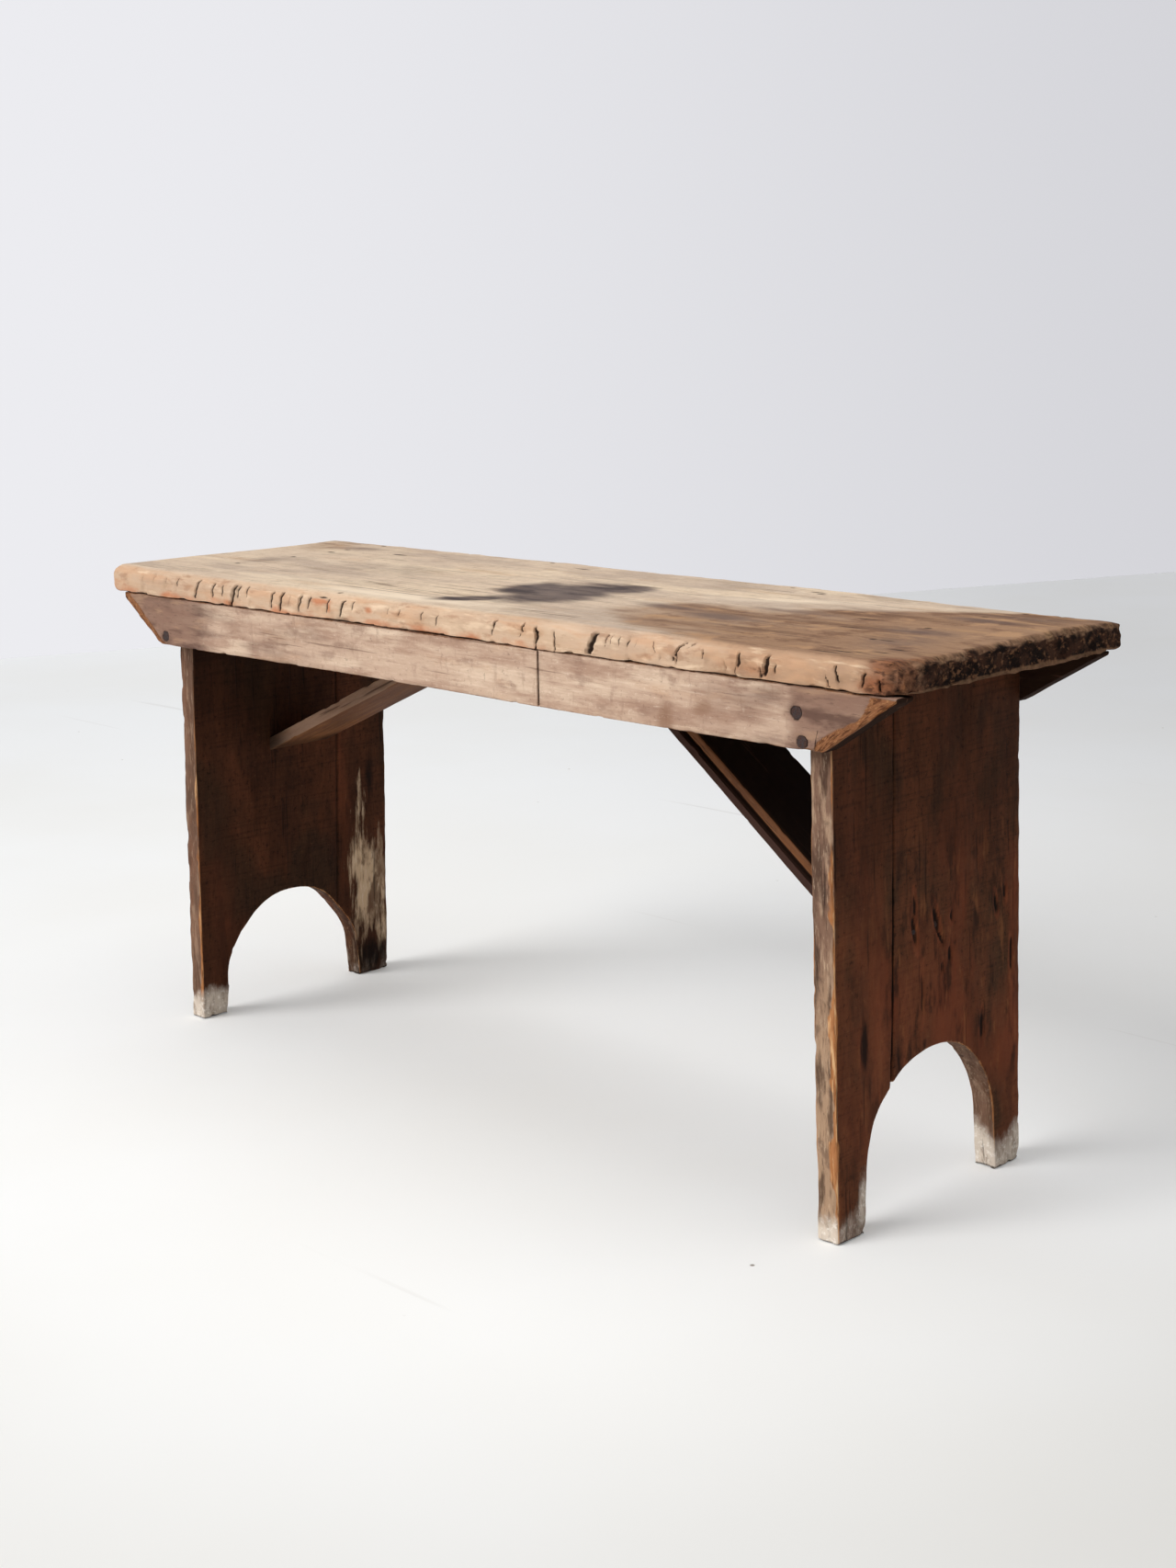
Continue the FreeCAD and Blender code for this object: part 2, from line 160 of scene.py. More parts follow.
def layered(points, cell, seed=0, layers=3):
    """Noise with finer waves laid over the broad ones."""
    waves = [noise(points, np.array(cell) / 2 ** layer, seed + layer) / 2 ** layer
             for layer in range(layers)]
    return sum(waves) / 1.3


def fade(value, low, high):
    """Runs smoothly from 0 at low to 1 at high."""
    share = np.clip((value - low) / (high - low), 0, 1)
    return share * share * (3 - 2 * share)


def most(*masks):
    return np.maximum.reduce([np.asarray(mask, dtype=float) for mask in masks])


# Makes a patch's strength a half at its outline
HALVING = -0.693


def spots(first, second, *rows):
    """Oval patches, as (strength, middle, middle, half size, half size, tilt). A patch has half
    of its strength at its outline and nothing well outside it."""
    patches = []
    for strength, middle, other, size, other_size, *tilt in rows:
        turn = math.radians(tilt[0]) if tilt else 0.0
        one, two = first - middle, second - other
        one, two = (one * math.cos(turn) + two * math.sin(turn),
                    two * math.cos(turn) - one * math.sin(turn))
        patches.append(strength * np.exp(HALVING * ((one / size) ** 2 + (two / other_size) ** 2)))
    return most(*patches)


def ease(first, second, radius):
    """Rounds an arris. Takes distances from its two faces and gives the new distances."""
    radius = np.maximum(radius, 0.01)
    one = np.clip(radius - first, 0, None)
    two = np.clip(radius - second, 0, None)
    ratio = np.maximum(one, two) / np.maximum(np.hypot(one, two), 1e-9)
    near = (one > 0) & (two > 0)
    return (np.where(near, radius - one * ratio, first),
            np.where(near, radius - two * ratio, second))


def round_plan(points, low, high, radius, opening=None):
    """Rounds a board's corners in plan. Gives each point's distance from the board's outline,
    the way out to it, and whether the opening is the nearest part of the outline."""
    middle, half = (low + high) / 2, (high - low) / 2
    side = np.where(points[:, :2] < middle, -1.0, 1.0)
    gap = half - np.abs(points[:, :2] - middle)
    radius = np.broadcast_to(radius, len(points))
    one, two = ease(gap[:, 0], gap[:, 1], radius)
    points[:, 0] = (middle + side * half)[:, 0] - side[:, 0] * one
    points[:, 1] = (middle + side * half)[:, 1] - side[:, 1] * two
    into = np.clip(radius[:, None] - np.stack([one, two], axis=1), 0, None)
    reach = np.hypot(*into.T)
    cornered = (into > 0).all(axis=1)
    distance = np.where(cornered, radius - reach, np.minimum(one, two))
    flat = np.where((one < two)[:, None], [[1.0, 0.0]], [[0.0, 1.0]])
    way = np.where(cornered[:, None], into / np.maximum(reach, 1e-9)[:, None], flat) * side
    if opening is None:
        return distance, way, np.zeros(len(points), dtype=bool)
    to_opening, opening_way = opening(points[:, :2])
    nearer = to_opening < distance
    return (np.where(nearer, np.maximum(to_opening, 0), distance),
            np.where(nearer[:, None], opening_way, way), nearer)


def round_arris(points, distance, way, face, outwards, radius):
    """Rounds the arris all round one wide face of a board."""
    new_distance, depth = ease(distance, (face - points[:, 2]) * outwards, radius)
    points[:, :2] += way * (distance - new_distance)[:, None]
    points[:, 2] = face - depth * outwards


def worn_back(points, distance, seed, hollow, ridge, chip):
    """How far planing hollows, the furrows of raised grain and chips in the arrises take the
    surface back. Each has its depth and cell, and the chips their two levels in between."""
    depth = hollow[0] * np.abs(layered(points, hollow[1:], seed))
    depth += ridge[0] * np.abs(noise(points, ridge[1:], seed + 1))
    return -depth - chip[0] * fade(noise(points, chip[3:], seed + 2), *chip[1:3]) * fade(distance, 3, 0.5)


def push(piece, points, amount):
    """Moves the points outwards along the board's surface, or inwards where it is negative."""
    write_points(piece, points)
    return points + read_points(piece, "normal") * amount[:, None]


def keep_mask(piece, **masks):
    """Keeps numbers from 0 to 1 on the points, for the materials to read."""
    for name, values in masks.items():
        layer = piece.data.attributes.new(name, "FLOAT", "POINT")
        layer.data.foreach_set("value", np.clip(values, 0, 1))


# Millimetres along the grain from the wood of one seed to that of the next
GRAIN_STEP = 731


def keep_grain(piece, points, seed, middle=0.0):
    """Keeps each point's place in its board, so that the grain runs along the board. The middle
    is where the heart of the log lay across the board."""
    layer = piece.data.attributes.new("grain", "FLOAT_VECTOR", "POINT")
    layer.data.foreach_set("vector", np.ravel((points + (GRAIN_STEP * seed, -middle, 0)) * MM))


SHARP_ANGLE = 50


def finish_board(piece, columns, node, material):
    """Puts a board in its place, in metres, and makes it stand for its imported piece."""
    low, high = corners(node)
    write_points(piece, np.clip(np.stack(columns, axis=1), low, high) * MM)
    bpy.context.view_layer.objects.active = piece
    piece.select_set(True)
    bpy.ops.object.mode_set(mode="EDIT")
    bpy.ops.mesh.select_all(action="SELECT")
    bpy.ops.mesh.remove_doubles(threshold=SAME_POINT * MM)
    bpy.ops.mesh.normals_make_consistent(inside=False)
    if bmesh.from_edit_mesh(piece.data).calc_volume(signed=True) < 0:
        bpy.ops.mesh.flip_normals()
    bpy.ops.object.mode_set(mode="OBJECT")
    bpy.ops.object.shade_smooth_by_angle(angle=math.radians(SHARP_ANGLE))
    piece.data.materials.append(material)
    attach(piece, "root")
    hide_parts(node)


def new_material(name):
    material = bpy.data.materials.new(name)
    material.use_nodes = True
    return material, material.node_tree


def put(tree, kind, sockets=None, **settings):
    """Adds a node to a material or group. Sockets are given a value or linked by their name."""
    made = tree.nodes.new("ShaderNode" + kind)
    for name, value in settings.items():
        setattr(made, name, value)
    for name, value in (sockets or {}).items():
        if isinstance(value, bpy.types.NodeSocket):
            tree.links.new(value, made.inputs[name])
        else:
            made.inputs[name].default_value = value
    return made


def sums(tree, operation, *values):
    """A chain of one sum over two or more values."""
    result = values[0]
    for value in values[1:]:
        result = put(tree, "Math", {0: result, 1: value}, operation=operation).outputs[0]
    return result


def vectors(tree, operation, first, second, result=0):
    return put(tree, "VectorMath", {0: first, 1: second}, operation=operation).outputs[result]


def ramp(tree, value, low, high, start=0.0, stop=1.0):
    """Runs smoothly from start to stop as the value goes from low to high."""
    sockets = {"Value": value, "From Min": low, "From Max": high, "To Min": start, "To Max": stop}
    return put(tree, "MapRange", sockets, interpolation_type="SMOOTHSTEP").outputs[0]


def blend(tree, share, first, second, how="MIX"):
    """Lays the second colour over the first where the share is 1."""
    made = put(tree, "Mix", {0: share, 6: first, 7: second}, data_type="RGBA", blend_type=how)
    return made.outputs[2]


def tint(red, green, blue):
    """A colour as it is seen, from 0 to 255, made ready for a material."""
    shares = [part / 255 for part in (red, green, blue)]
    return tuple(s / 12.92 if s <= 0.04045 else ((s + 0.055) / 1.055) ** 2.4 for s in shares) + (1,)


def wavy(tree, place, scale, detail=3.0, roughness=0.5):
    """Random waves from 0 to 1 over the places."""
    sockets = {"Vector": place, "Scale": scale, "Detail": detail, "Roughness": roughness}
    return put(tree, "TexNoise", sockets).outputs["Fac"]


def stretched(tree, place, along, across, through=None):
    """The places drawn out along the grain: each number is the waves in a metre that way."""
    return vectors(tree, "MULTIPLY", place, (along, across, across if through is None else through))


def new_group(name, inputs, outputs):
    """A shared shader group. Inputs are names with a first value, and outputs are names."""
    group = bpy.data.node_groups.new(name, "ShaderNodeTree")
    for socket, value in inputs.items():
        kind = "NodeSocketVector" if value is None else "NodeSocketFloat"
        made = group.interface.new_socket(socket, in_out="INPUT", socket_type=kind)
        if value is not None:
            made.default_value = value
    for socket in outputs:
        group.interface.new_socket(socket, in_out="OUTPUT", socket_type="NodeSocketFloat")
    return group, group.nodes.new("NodeGroupInput").outputs, group.nodes.new("NodeGroupOutput").inputs


# Grain of a flat sawn board: year rings cut from a log whose heart lies below the board, fine
# fibres, and short dry checks along them. It puts out masks from 0 to 1.
grain_group, taken, given = new_group(
    "board_grain", {"Grain": None, "Rings": 110.0, "Heart": 0.05, "Drift": 0.012},
    ["Rings", "Fibres", "Flecks", "Grime", "Checks", "Mottle"])
tree, place = grain_group, taken["Grain"]
bend = sums(tree, "SUBTRACT", wavy(tree, stretched(tree, place, 2.2, 6), 1.0, 2.0), 0.5)
bend = sums(tree, "MULTIPLY", bend, taken["Drift"], 4.0)
axes = put(tree, "SeparateXYZ", {0: place}).outputs
depth = sums(tree, "ADD", axes[2], taken["Heart"], bend)
far = put(tree, "CombineXYZ", {1: sums(tree, "ADD", axes[1], bend), 2: depth}).outputs[0]
far = put(tree, "VectorMath", {0: far}, operation="LENGTH").outputs["Value"]
years = sums(tree, "FRACT", sums(tree, "MULTIPLY", far, taken["Rings"]), 0.0)
late_wood = sums(tree, "POWER", years, 2.2)
checks = wavy(tree, stretched(tree, place, 11, 260), 1.0, 2.0)
patches = wavy(tree, stretched(tree, place, 5, 30), 1.0, 2.0)
checks = sums(tree, "ADD", checks, sums(tree, "MULTIPLY", patches, 0.35))
for name, made in {
        "Rings": sums(tree, "MULTIPLY", late_wood, ramp(tree, years, 1.0, 0.9)),
        "Fibres": wavy(tree, stretched(tree, place, 16, 460), 1.0, 4.0, 0.65),
        "Flecks": wavy(tree, stretched(tree, place, 70, 560), 1.0, 4.0, 0.7),
        "Grime": wavy(tree, place, 190.0, 6.0, 0.75),
        "Checks": ramp(tree, checks, 0.83, 0.9),
        "Mottle": wavy(tree, stretched(tree, place, 7, 26), 1.0, 4.0, 0.6)}.items():
    tree.links.new(made, given[name])

# Torn edge: breaks up a mask's soft outline into streaks along the grain.
torn_group, taken, given = new_group(
    "torn_edge", {"Mask": 0.0, "Grain": None, "Along": 30.0, "Across": 160.0, "Torn": 0.6,
                  "Soft": 0.12}, ["Mask"])
tree = torn_group
place = put(tree, "CombineXYZ", {0: taken["Along"], 1: taken["Across"], 2: taken["Across"]})
place = vectors(tree, "MULTIPLY", taken["Grain"], place.outputs[0])
tear = sums(tree, "SUBTRACT", wavy(tree, place, 1.0, 5.0, 0.65), 0.5)
level = sums(tree, "ADD", taken["Mask"], sums(tree, "MULTIPLY", tear, taken["Torn"]))
low, high = (sums(tree, way, 0.5, taken["Soft"]) for way in ("SUBTRACT", "ADD"))
tree.links.new(ramp(tree, level, low, high), given["Mask"])


class Finish:
    """A wood finish while it is being mixed: its nodes, the board's grain and the colour so far."""

    def __init__(self, name, gloss, base, **grain):
        self.material, self.tree = new_material(name)
        self.shader = self.tree.nodes["Principled BSDF"]
        self.shader.inputs["Specular IOR Level"].default_value = gloss
        self.place = put(self.tree, "Attribute", attribute_name="grain").outputs["Vector"]
        self.grain = put(self.tree, "Group", {"Grain": self.place, **grain}, node_tree=grain_group).outputs
        self.colour = tint(*base)
        self.height = 0.0

    def patches(self, along, across, low, high, detail=3.0, roughness=0.55, through=None):
        """Random patches, with so many waves in a metre along, across and through the board. They
        fade in from the low level to the high one."""
        place = stretched(self.tree, self.place, along, across, through)
        return ramp(self.tree, wavy(self.tree, place, 1.0, detail, roughness), low, high)

    def share(self, first, *rest):
        """A mask from its description. It is random patches, by what they take. Or it is a wave of
        the grain, by its name, over a level (or under it where the width is negative). Or it is a
        kept mask, by its name, with an edge torn by waves along and across the grain, how much and
        how softly."""
        if isinstance(first, bpy.types.NodeSocket):
            return first
        if not isinstance(first, str):
            return self.patches(first, *rest)
        if first in self.grain.keys():
            made = self.grain[first]
            return ramp(self.tree, made, rest[0], sum(rest)) if rest else made
        kept = put(self.tree, "Attribute", attribute_name=first).outputs["Fac"]
        if not rest:
            return kept
        sockets = dict(zip(("Along", "Across", "Torn", "Soft"), rest), Mask=kept, Grain=self.place)
        return put(self.tree, "Group", sockets, node_tree=torn_group).outputs[0]

    def sums(self, operation, *shares):
        """One sum over shares, sockets or numbers."""
        shares = (self.share(*share) if isinstance(share, tuple) else share for share in shares)
        return sums(self.tree, operation, *shares)

    def lay(self, mask, *rows):
        """Lays colours over what is there, as (colour, how strongly, share). Where a mask is given
        they lie only on it, and a row without a share covers it whole."""
        mask = self.share(*mask) if isinstance(mask, tuple) else mask
        for colour, amount, *share in rows:
            share = self.share(*share) if share else mask
            if mask is not None and share != mask:
                share = sums(self.tree, "MULTIPLY", mask, share)
            if amount != 1.0:
                share = sums(self.tree, "MULTIPLY", share, amount)
            self.colour = blend(self.tree, share, self.colour, tint(*colour))
        return mask

    def lift(self, *rows):
        """Adds to the height of the surface, as (millimetres, share)."""
        for amount, *share in rows:
            self.height = self.sums("ADD", self.height, self.sums("MULTIPLY", self.share(*share), amount))

    def finish(self, rough, rough_there, share, strength=0.6):
        """Joins the colour, the gloss and the bumps to the shader. Gives the material."""
        bump = put(self.tree, "Bump", {"Height": self.height, "Distance": MM, "Strength": strength})
        for name, made in (("Base Color", self.colour), ("Normal", bump.outputs["Normal"]),
                           ("Roughness", ramp(self.tree, share, 0.0, 1.0, rough, rough_there))):
            self.tree.links.new(made, self.shader.inputs[name])
        return self.material


wood = Finish("dark_leg_wood", 0.06, (92, 54, 34), Rings=95.0, Heart=0.07, Drift=0.016)
edge, worn = wood.share("edge"), wood.share("worn")
wood.lay(None,
         ((122, 71, 45), 0.8, 7, 17, 0.45, 0.64, 5.0),
         ((70, 51, 35), 0.75, 8, 15, 0.48, 0.62, 5.0),
         ((50, 29, 20), 0.55, 11, 26, 0.5, 0.66, 6.0, 0.65),
         ((38, 22, 15), 0.12, "Rings"),
         ((104, 63, 41), 0.25, "Fibres", 0.54, 0.2),
         ((36, 22, 15), 0.3, "Fibres", 0.46, -0.2),
         ((114, 72, 46), 0.35, "Flecks", 0.56, 0.16),
         ((30, 18, 12), 0.4, "Flecks", 0.44, -0.16),
         ((27, 16, 10), 0.72, "Grime", 0.47, -0.12),
         ((124, 84, 56), 0.55, "Grime", 0.56, 0.14),
         ((40, 25, 17), 0.28, 420, 16, 0.5, 0.66, 2.0))
wood.lay(("russet", 11, 34, 1.3, 0.45),
         ((133, 72, 46), 0.66),
         ((56, 33, 23), 0.75, 14, 46, 0.47, 0.62, 6.0, 0.65))
wood.lay(worn,
         ((122, 62, 38), 0.6, 6, 16, 0.46, 0.62, 5.0),
         ((156, 98, 60), 0.35, 28, 110, 0.56, 0.68, 6.0),
         ((38, 23, 16), 0.75, 17, 60, 0.5, 0.64, 6.0, 0.65))
wood.lay(None,
         # painted shade on the legs' hidden faces and their tops under the seat
         ((30, 16, 10), 0.9, "shade", 12, 60, 0.4, 0.4),
         ((124, 95, 78), 1.0, "edge", 14, 200, 0.35, 0.2),
         ((164, 134, 108), 1.0, "bleached", 14, 90, 0.7, 0.3))
wood.lay(("pale", 24, 150, 1.5, 0.16),
         ((208, 178, 145), 0.9),
         ((222, 204, 180), 0.65, "Flecks", 0.52, 0.16),
         ((84, 58, 42), 0.8, 24, 70, 0.46, 0.58, 6.0, 0.65),
         ((100, 70, 52), 0.65, 11, 40, 0.48, 0.58, 6.0, 0.65))
wood.lay(edge,
         ((72, 52, 42), 0.8, 22, 120, 0.48, 0.62, 5.0),
         ((174, 145, 120), 0.7, 30, 160, 0.52, 0.66, 5.0),
         ((92, 70, 58), 0.6, 46, 50, 0.54, 0.66, 5.0),
         ((204, 178, 150), 0.5, "Flecks", 0.55, 0.14),
         ((62, 44, 36), 0.6, "Flecks", 0.45, -0.14))
wood.lay(("bare", 30, 200, 1.1, 0.16),
         ((168, 110, 66), 0.9),
         ((218, 178, 132), 0.7, 50, 500, 0.5, 0.66),
         ((88, 52, 34), 0.65, 60, 400, 0.52, 0.66))
wood.lay(("chalk", 40, 100, 0.7, 0.28),
         ((212, 198, 182), 0.92),
         ((122, 98, 80), 0.55, 50, 130, 0.48, 0.62, 5.0),
         ((240, 233, 224), 0.7, "Grime", 0.5, 0.14))
# dark marks, with painted shade in the split and the gouges
wood.lay(None, ((18, 12, 10), 0.9, "soot", 36, 210, 0.7, 0.2), ((16, 10, 8), 0.5, "Checks"))
wood.lift((0.5, "Fibres"), (0.5, "Flecks"), (0.35, "Grime"), (-0.7, "Checks"), (0.6, "Mottle"))
leg_wood = wood.finish(0.6, 0.8, wood.grain["Mottle"])

LEG_LEAN = 13.0
LEG_NET_STEP = 1.9
THROUGH_STEP = 2.6
ARCH_RADIUS = 84.0
ARCH_FLARE = 3.0
# For each leg: the middle of its arch, the height where the arch starts to curve, and bumps in
# the sawn curve, as (angle round the arch, spread, how far it is cut into the wood)
ARCHES = {"left": (-6.0, 30.0, ((40, 20, -5.0), (110, 14, 1.5), (165, 18, 2.0))),
          "right": (-2.0, 44.0, ((100, 12, -1.0), (60, 16, 1.2), (148, 10, 1.8)))}
# The right leg's split, and a thin one further back: heights, and how far across it lies there
CRACK_HEIGHTS, CRACK_PLACES = (100, 240, 350, 431), (-54.3, -50.8, -48.8, -47.0)
THIN_HEIGHTS, THIN_PLACES = (115, 205), (37.6, 38)
# A seam on the inside of the left leg
SEAM_HEIGHTS, SEAM_PLACES = (100, 270, 431), (52, 55, 56)
# Where the net is drawn closer across each leg, for its seam or its split
CLOSE_LINES = {"left": [52.0], "right": [-47.0, -50.5, -54.0]}
# Gouges in the right leg, as (across, up, half width, half length, tilt, depth)
GOUGES = ((-23.3, 246, 1.7, 8, 6, 1.0), (-23.5, 226, 2.5, 11, 12, 1.8), (5.5, 228, 2.6, 11, 16, 2.2),
          (11, 213, 1.8, 6, 30, 1.4), (25, 228, 1.6, 4, 0, 1.0), (23, 198, 2.0, 6, 0, 1.4),
          (12, 189, 1.6, 4, 0, 1.0), (85.5, 226, 1.9, 7, 10, 1.3), (98, 234, 1.9, 6, 5, 1.3),
          (108, 179, 2.2, 13, 0, 1.5), (-14, 174, 1.4, 15, 0, 0.8), (66, 128, 2.2, 9, 0, 0.9))


def arch_edge(middle, spring, bumps):
    """The opening of a leg: a round arch on sides that flare towards the floor."""
    def measure(places):
        up, across = places[:, 0] - spring, places[:, 1] - middle
        out = np.maximum(np.hypot(across, up), 1e-6)
        angle = np.degrees(np.arctan2(up, across))
        half = ARCH_RADIUS + sum(size * np.exp(-((angle - turn) / spread) ** 2)
                                 for turn, spread, size in bumps)
        low_half = ARCH_RADIUS + ARCH_FLARE * -up / spring
        curved = (up >= 0)[:, None]
        gap = np.where(up >= 0, out - half, np.abs(across) - low_half)
        inwards = np.where(curved, -np.stack([up, across], axis=1) / out[:, None],
                           np.stack([0 * up, -np.sign(across)], axis=1))
        return gap, inwards
    return measure


for word, side, seed in (("left", -1, 3), ("right", 1, 8)):
    low, high = corners(f"{word}_leg")
    reach = max(abs(low[0]), abs(high[0]))
    height, thickness = high[2], high[0] - low[0] - LEG_LEAN
    middle, spring, bumps = ARCHES[word]
    arch = arch_edge(middle, spring, bumps)
    along = lines(0, height, LEG_NET_STEP, close_to=(0,), close_step=0.9, reach=8)
    across = lines(low[1], high[1], LEG_NET_STEP, [low[1], high[1]] + CLOSE_LINES[word], 0.8, 5)
    through = lines(0, thickness, THROUGH_STEP, (0, thickness), 0.8, 6)
    piece, points = sawn_board(f"{word}_leg_board", along, across, through, arch)
    keep_grain(piece, points, seed)
    up, back, deep = points.T.copy()
    flat_low, flat_high = np.array([0, low[1]]), np.array([height, high[1]])
    distance, way, at_arch = round_plan(points, flat_low, flat_high, 2.0, arch)

    # Arrises: rubbed unevenly, most of all outside at the front
    rub = 1.6 + 1.0 * noise(points, (38, 300, 300), seed) + 0.8 * noise(points, (9, 300, 300), seed + 1)
    at_front = fade(back, low[1] + 30, low[1] + 10)
    outer_rub = rub + at_front * (1.2 + 1.5 * np.clip(noise(points, (26, 99, 99), seed + 2), 0, 1))
    inner_rub = rub + (at_front * 6 * fade(up, 300, 410) if side < 0 else 0)
    round_arris(points, distance, way, 0.0, -1, np.clip(outer_rub, 0.5, 6))
    round_arris(points, distance, way, thickness, 1, np.clip(inner_rub, 0.5, 8))

    # Surface: broad planing hollows, raised grain, chips in the edges
    moved = worn_back(points, distance, seed + 5, (0.35, 160, 46, 99), (0.22, 120, 5.5, 9),
                      (1.3, 0.45, 0.9, 11, 14, 8))
    moved -= 1.5 * fade(noise(points, (7, 7, 7), seed + 8), 0.3, 0.8) * fade(up, 12, 2) * fade(up, -1, 1.5)
    off_middle = np.abs(back - (low[1] + high[1]) / 2)
    moved -= 1.1 * fade(off_middle, 112, 121) * np.abs(layered(points, (44, 99, 40), seed + 9))
    outer, inner = deep < ON_FACE, deep > thickness - ON_FACE
    rims = np.zeros(len(points))
    if side > 0:
        gap = np.abs(back - np.interp(up, CRACK_HEIGHTS, CRACK_PLACES))
        opened = 0.6 + 0.4 * fade(up, 300, 225)
        moved -= outer * 2.6 * fade(gap, 1.3, 0.2) * opened
        moved -= fade(deep, 20, 0) * 2.4 * fade(gap, 2.6, 0.5) * fade(up, 150, 112)
        # Painted shade: the split and the gouges below are darkened inside their hollows
        dark = outer * fade(gap, 2.2, 0.4) * opened * 0.95
        for gouge in GOUGES:
            hole = spots(back, up, (1, *gouge[:5]))
            moved -= outer * gouge[5] * fade(hole, 0.12, 0.7)
            dark = most(dark, outer * 0.7 * fade(hole, 0.12, 0.62))
            rims = most(rims, outer * fade(hole, 0.01, 0.07) * fade(hole, 0.5, 0.2))
        thin = np.abs(back - np.interp(up, THIN_HEIGHTS, THIN_PLACES))
        dark = most(dark, outer * 0.8 * fade(thin, 1.4, 0.2) * fade(up, 212, 200),
                    outer * spots(back, up, (0.75, -88, 152, 5.5, 26), (0.45, -82, 112, 4.5, 30),
                                  (0.5, 64, 140, 4, 18), (0.45, 14, 165, 16, 22, 10),
                                  (0.4, 96, 262, 12, 22)))
    else:
        seam = np.abs(back - np.interp(up, SEAM_HEIGHTS, SEAM_PLACES))
        moved -= inner * 1.2 * fade(seam, 1.6, 0.3)
        dark = inner * most(0.5 * fade(seam, 5, 0.5),
                            spots(back, up, (0.6, 98, 215, 7, 40), (0.7, 98, 22, 24, 20)))
    points = push(piece, points, moved)

    # Where the finish has changed, and where shade is painted in
    front_edge, back_edge = fade(back, low[1] + 2.2, low[1] + 0.3), fade(back, high[1] - 2.2, high[1])
    under_arch = (at_arch & (distance < ON_FACE)) * 0.52
    arris = fade(distance, 2.6, 0.0) * fade(np.minimum(deep, thickness - deep), 3.2, 0.0)
    uneven = 0.5 + 0.5 * layered(points, (45, 200, 200), seed + 12)
    wide_rub = np.clip(0.5 + layered(points, (34, 99, 99), seed + 12), 0, 1)
    rub_width = 1.2 + (2.0 + 4.5 * fade(up, 400, 200)) * wide_rub
    rub_width = np.maximum(rub_width + 1.6 * noise(points, (8, 99, 99), seed + 13), 0.7)
    # The right leg shows its outer face beside the front edge, and the left leg its inner face
    shown, shown_face = (deep, outer) if side > 0 else (thickness - deep, inner)
    rub_width *= 1.0 if side > 0 else 0.6
    outer_front = most(front_edge * fade(shown, rub_width + 1.0, rub_width - 1.5),
                       shown_face * fade(back, low[1] + rub_width * 0.6, low[1]))
    bare = most(arris * 0.7 * (0.5 + 0.6 * uneven),
                outer_front * (0.45 + 0.6 * uneven) * (0.75 + 0.25 * fade(up, 350, 250)))
    chalk_height = np.where(back > middle, 52, 44) + 12 * noise(points, (30, 16, 16), seed + 20)
    on_outer_front = outer & (back < middle)
    chalk = fade(up, chalk_height, chalk_height - 40) * np.where(on_outer_front, 0.45, 0.86)
    chalk *= np.where(outer & (back > middle), 0.78, 1.0)
    chalk = most(chalk, on_outer_front * side * spots(back, up, (0.7, -92, 26, 7, 24)))
    # Darker along the bottom few millimetres of the feet
    dark = most(dark, 0.6 * fade(up + 1.5 * noise(points, (9, 9, 9), seed + 21), 3.5, 0.5))
    edges = most(front_edge, 0.8 * back_edge, under_arch)
    worn = outer * fade(up, 330, 210) * fade(up, 60, 110) * fade(back, -75, -50) + 0.3 * outer
    bleached = front_edge * fade(up, 330, 60)
    russet = outer * spots(back, up, (0.8, -70, 120, 14, 95), (0.5, -92, 130, 26, 150))
    if side > 0:
        pale = np.zeros(len(points))
        russet = most(russet, rims, outer * spots(back, up, (0.7, -2, 165, 44, 48), (0.8, 113, 150, 8, 60),
                                                  (0.6, 92, 110, 14, 40), (0.5, -75, 212, 14, 18)))
    else:
        chalk *= np.where(back > middle, 0.35, 1.0)
        pale = spots(back, up, (0.82, 98, 92, 22, 50, -12), (0.66, 112, 52, 8, 34),
                     (0.66, 84, 130, 16, 46), (0.5, 82, 180, 12, 44))
        pale *= fade(deep, 2, thickness) * fade(back, 50, 62) * (deep > 16)
        russet = most(0.5 * russet, inner * spots(back, up, (0.7, 59, 230, 3, 150), (0.6, -95, 110, 16, 70)))
        worn, edges, bleached = 0.6 * worn, 0.54 * edges, 0.3 * bleached
    russet = most(russet, (deep > 15) * spots(back, up, (0.55, 62, 190, 10, 120), (0.5, -90, 80, 24, 60)))
    # Painted shade: the hidden inner face is darkened all over, most at the top under the seat, and the
    # outer face darkens towards the seat
    hidden = fade(deep, 3, thickness - 3)
    shade = hidden * most(fade(up, 290, 405), 0.66 * fade(up, 120, 320) * fade(back, 62, 48),
                          0.45 * fade(back, 62, 48))
    shade = most(shade, outer * most(0.5 * fade(up, 200, 330), 0.66 * fade(up, 395, 430)), 0.54 * hidden)
    keep_mask(piece, edge=edges, bare=bare, chalk=chalk, russet=russet, soot=dark, shade=shade,
              bleached=bleached, worn=worn, pale=pale)

    # The leaning board in its place
    face = side * (reach - LEG_LEAN * points[:, 0] / height - points[:, 2])
    finish_board(piece, (face, points[:, 1], points[:, 0]), f"{word}_leg", leg_wood)


# Aprons. A narrow pine board is nailed to the leg edges along each side, under the seat. Its
# ends are sawn at a slant, and the front one is rubbed smooth, with bare orange wood where the
# lower arris has worn away at both ends.

APRON_LEFT_NOSE, APRON_RIGHT_NOSE = 6.0, 3.0
# For each apron: how far the left and the right end slant in
APRON_SLANTS = {"front": (58.0, 67.0), "back": (63.0, 74.0)}
APRON_END_REACH = 9.0
# Turns a length along the apron into a distance at right angles from its slanting end
SLANT_SINE = 0.57
APRON_NET_STEP = 2.4
KERF_PLACE = 123.5
# The big nail heads that show: across the bench and up, in millimetres
FRONT_NAILS = ((390.4, 411.3), (395.7, 390.1), (-393.0, 392.9))
BACK_NAILS = ((-389.1, 411.3), (-389.7, 390.1), (396.1, 411.3), (396.7, 390.1))

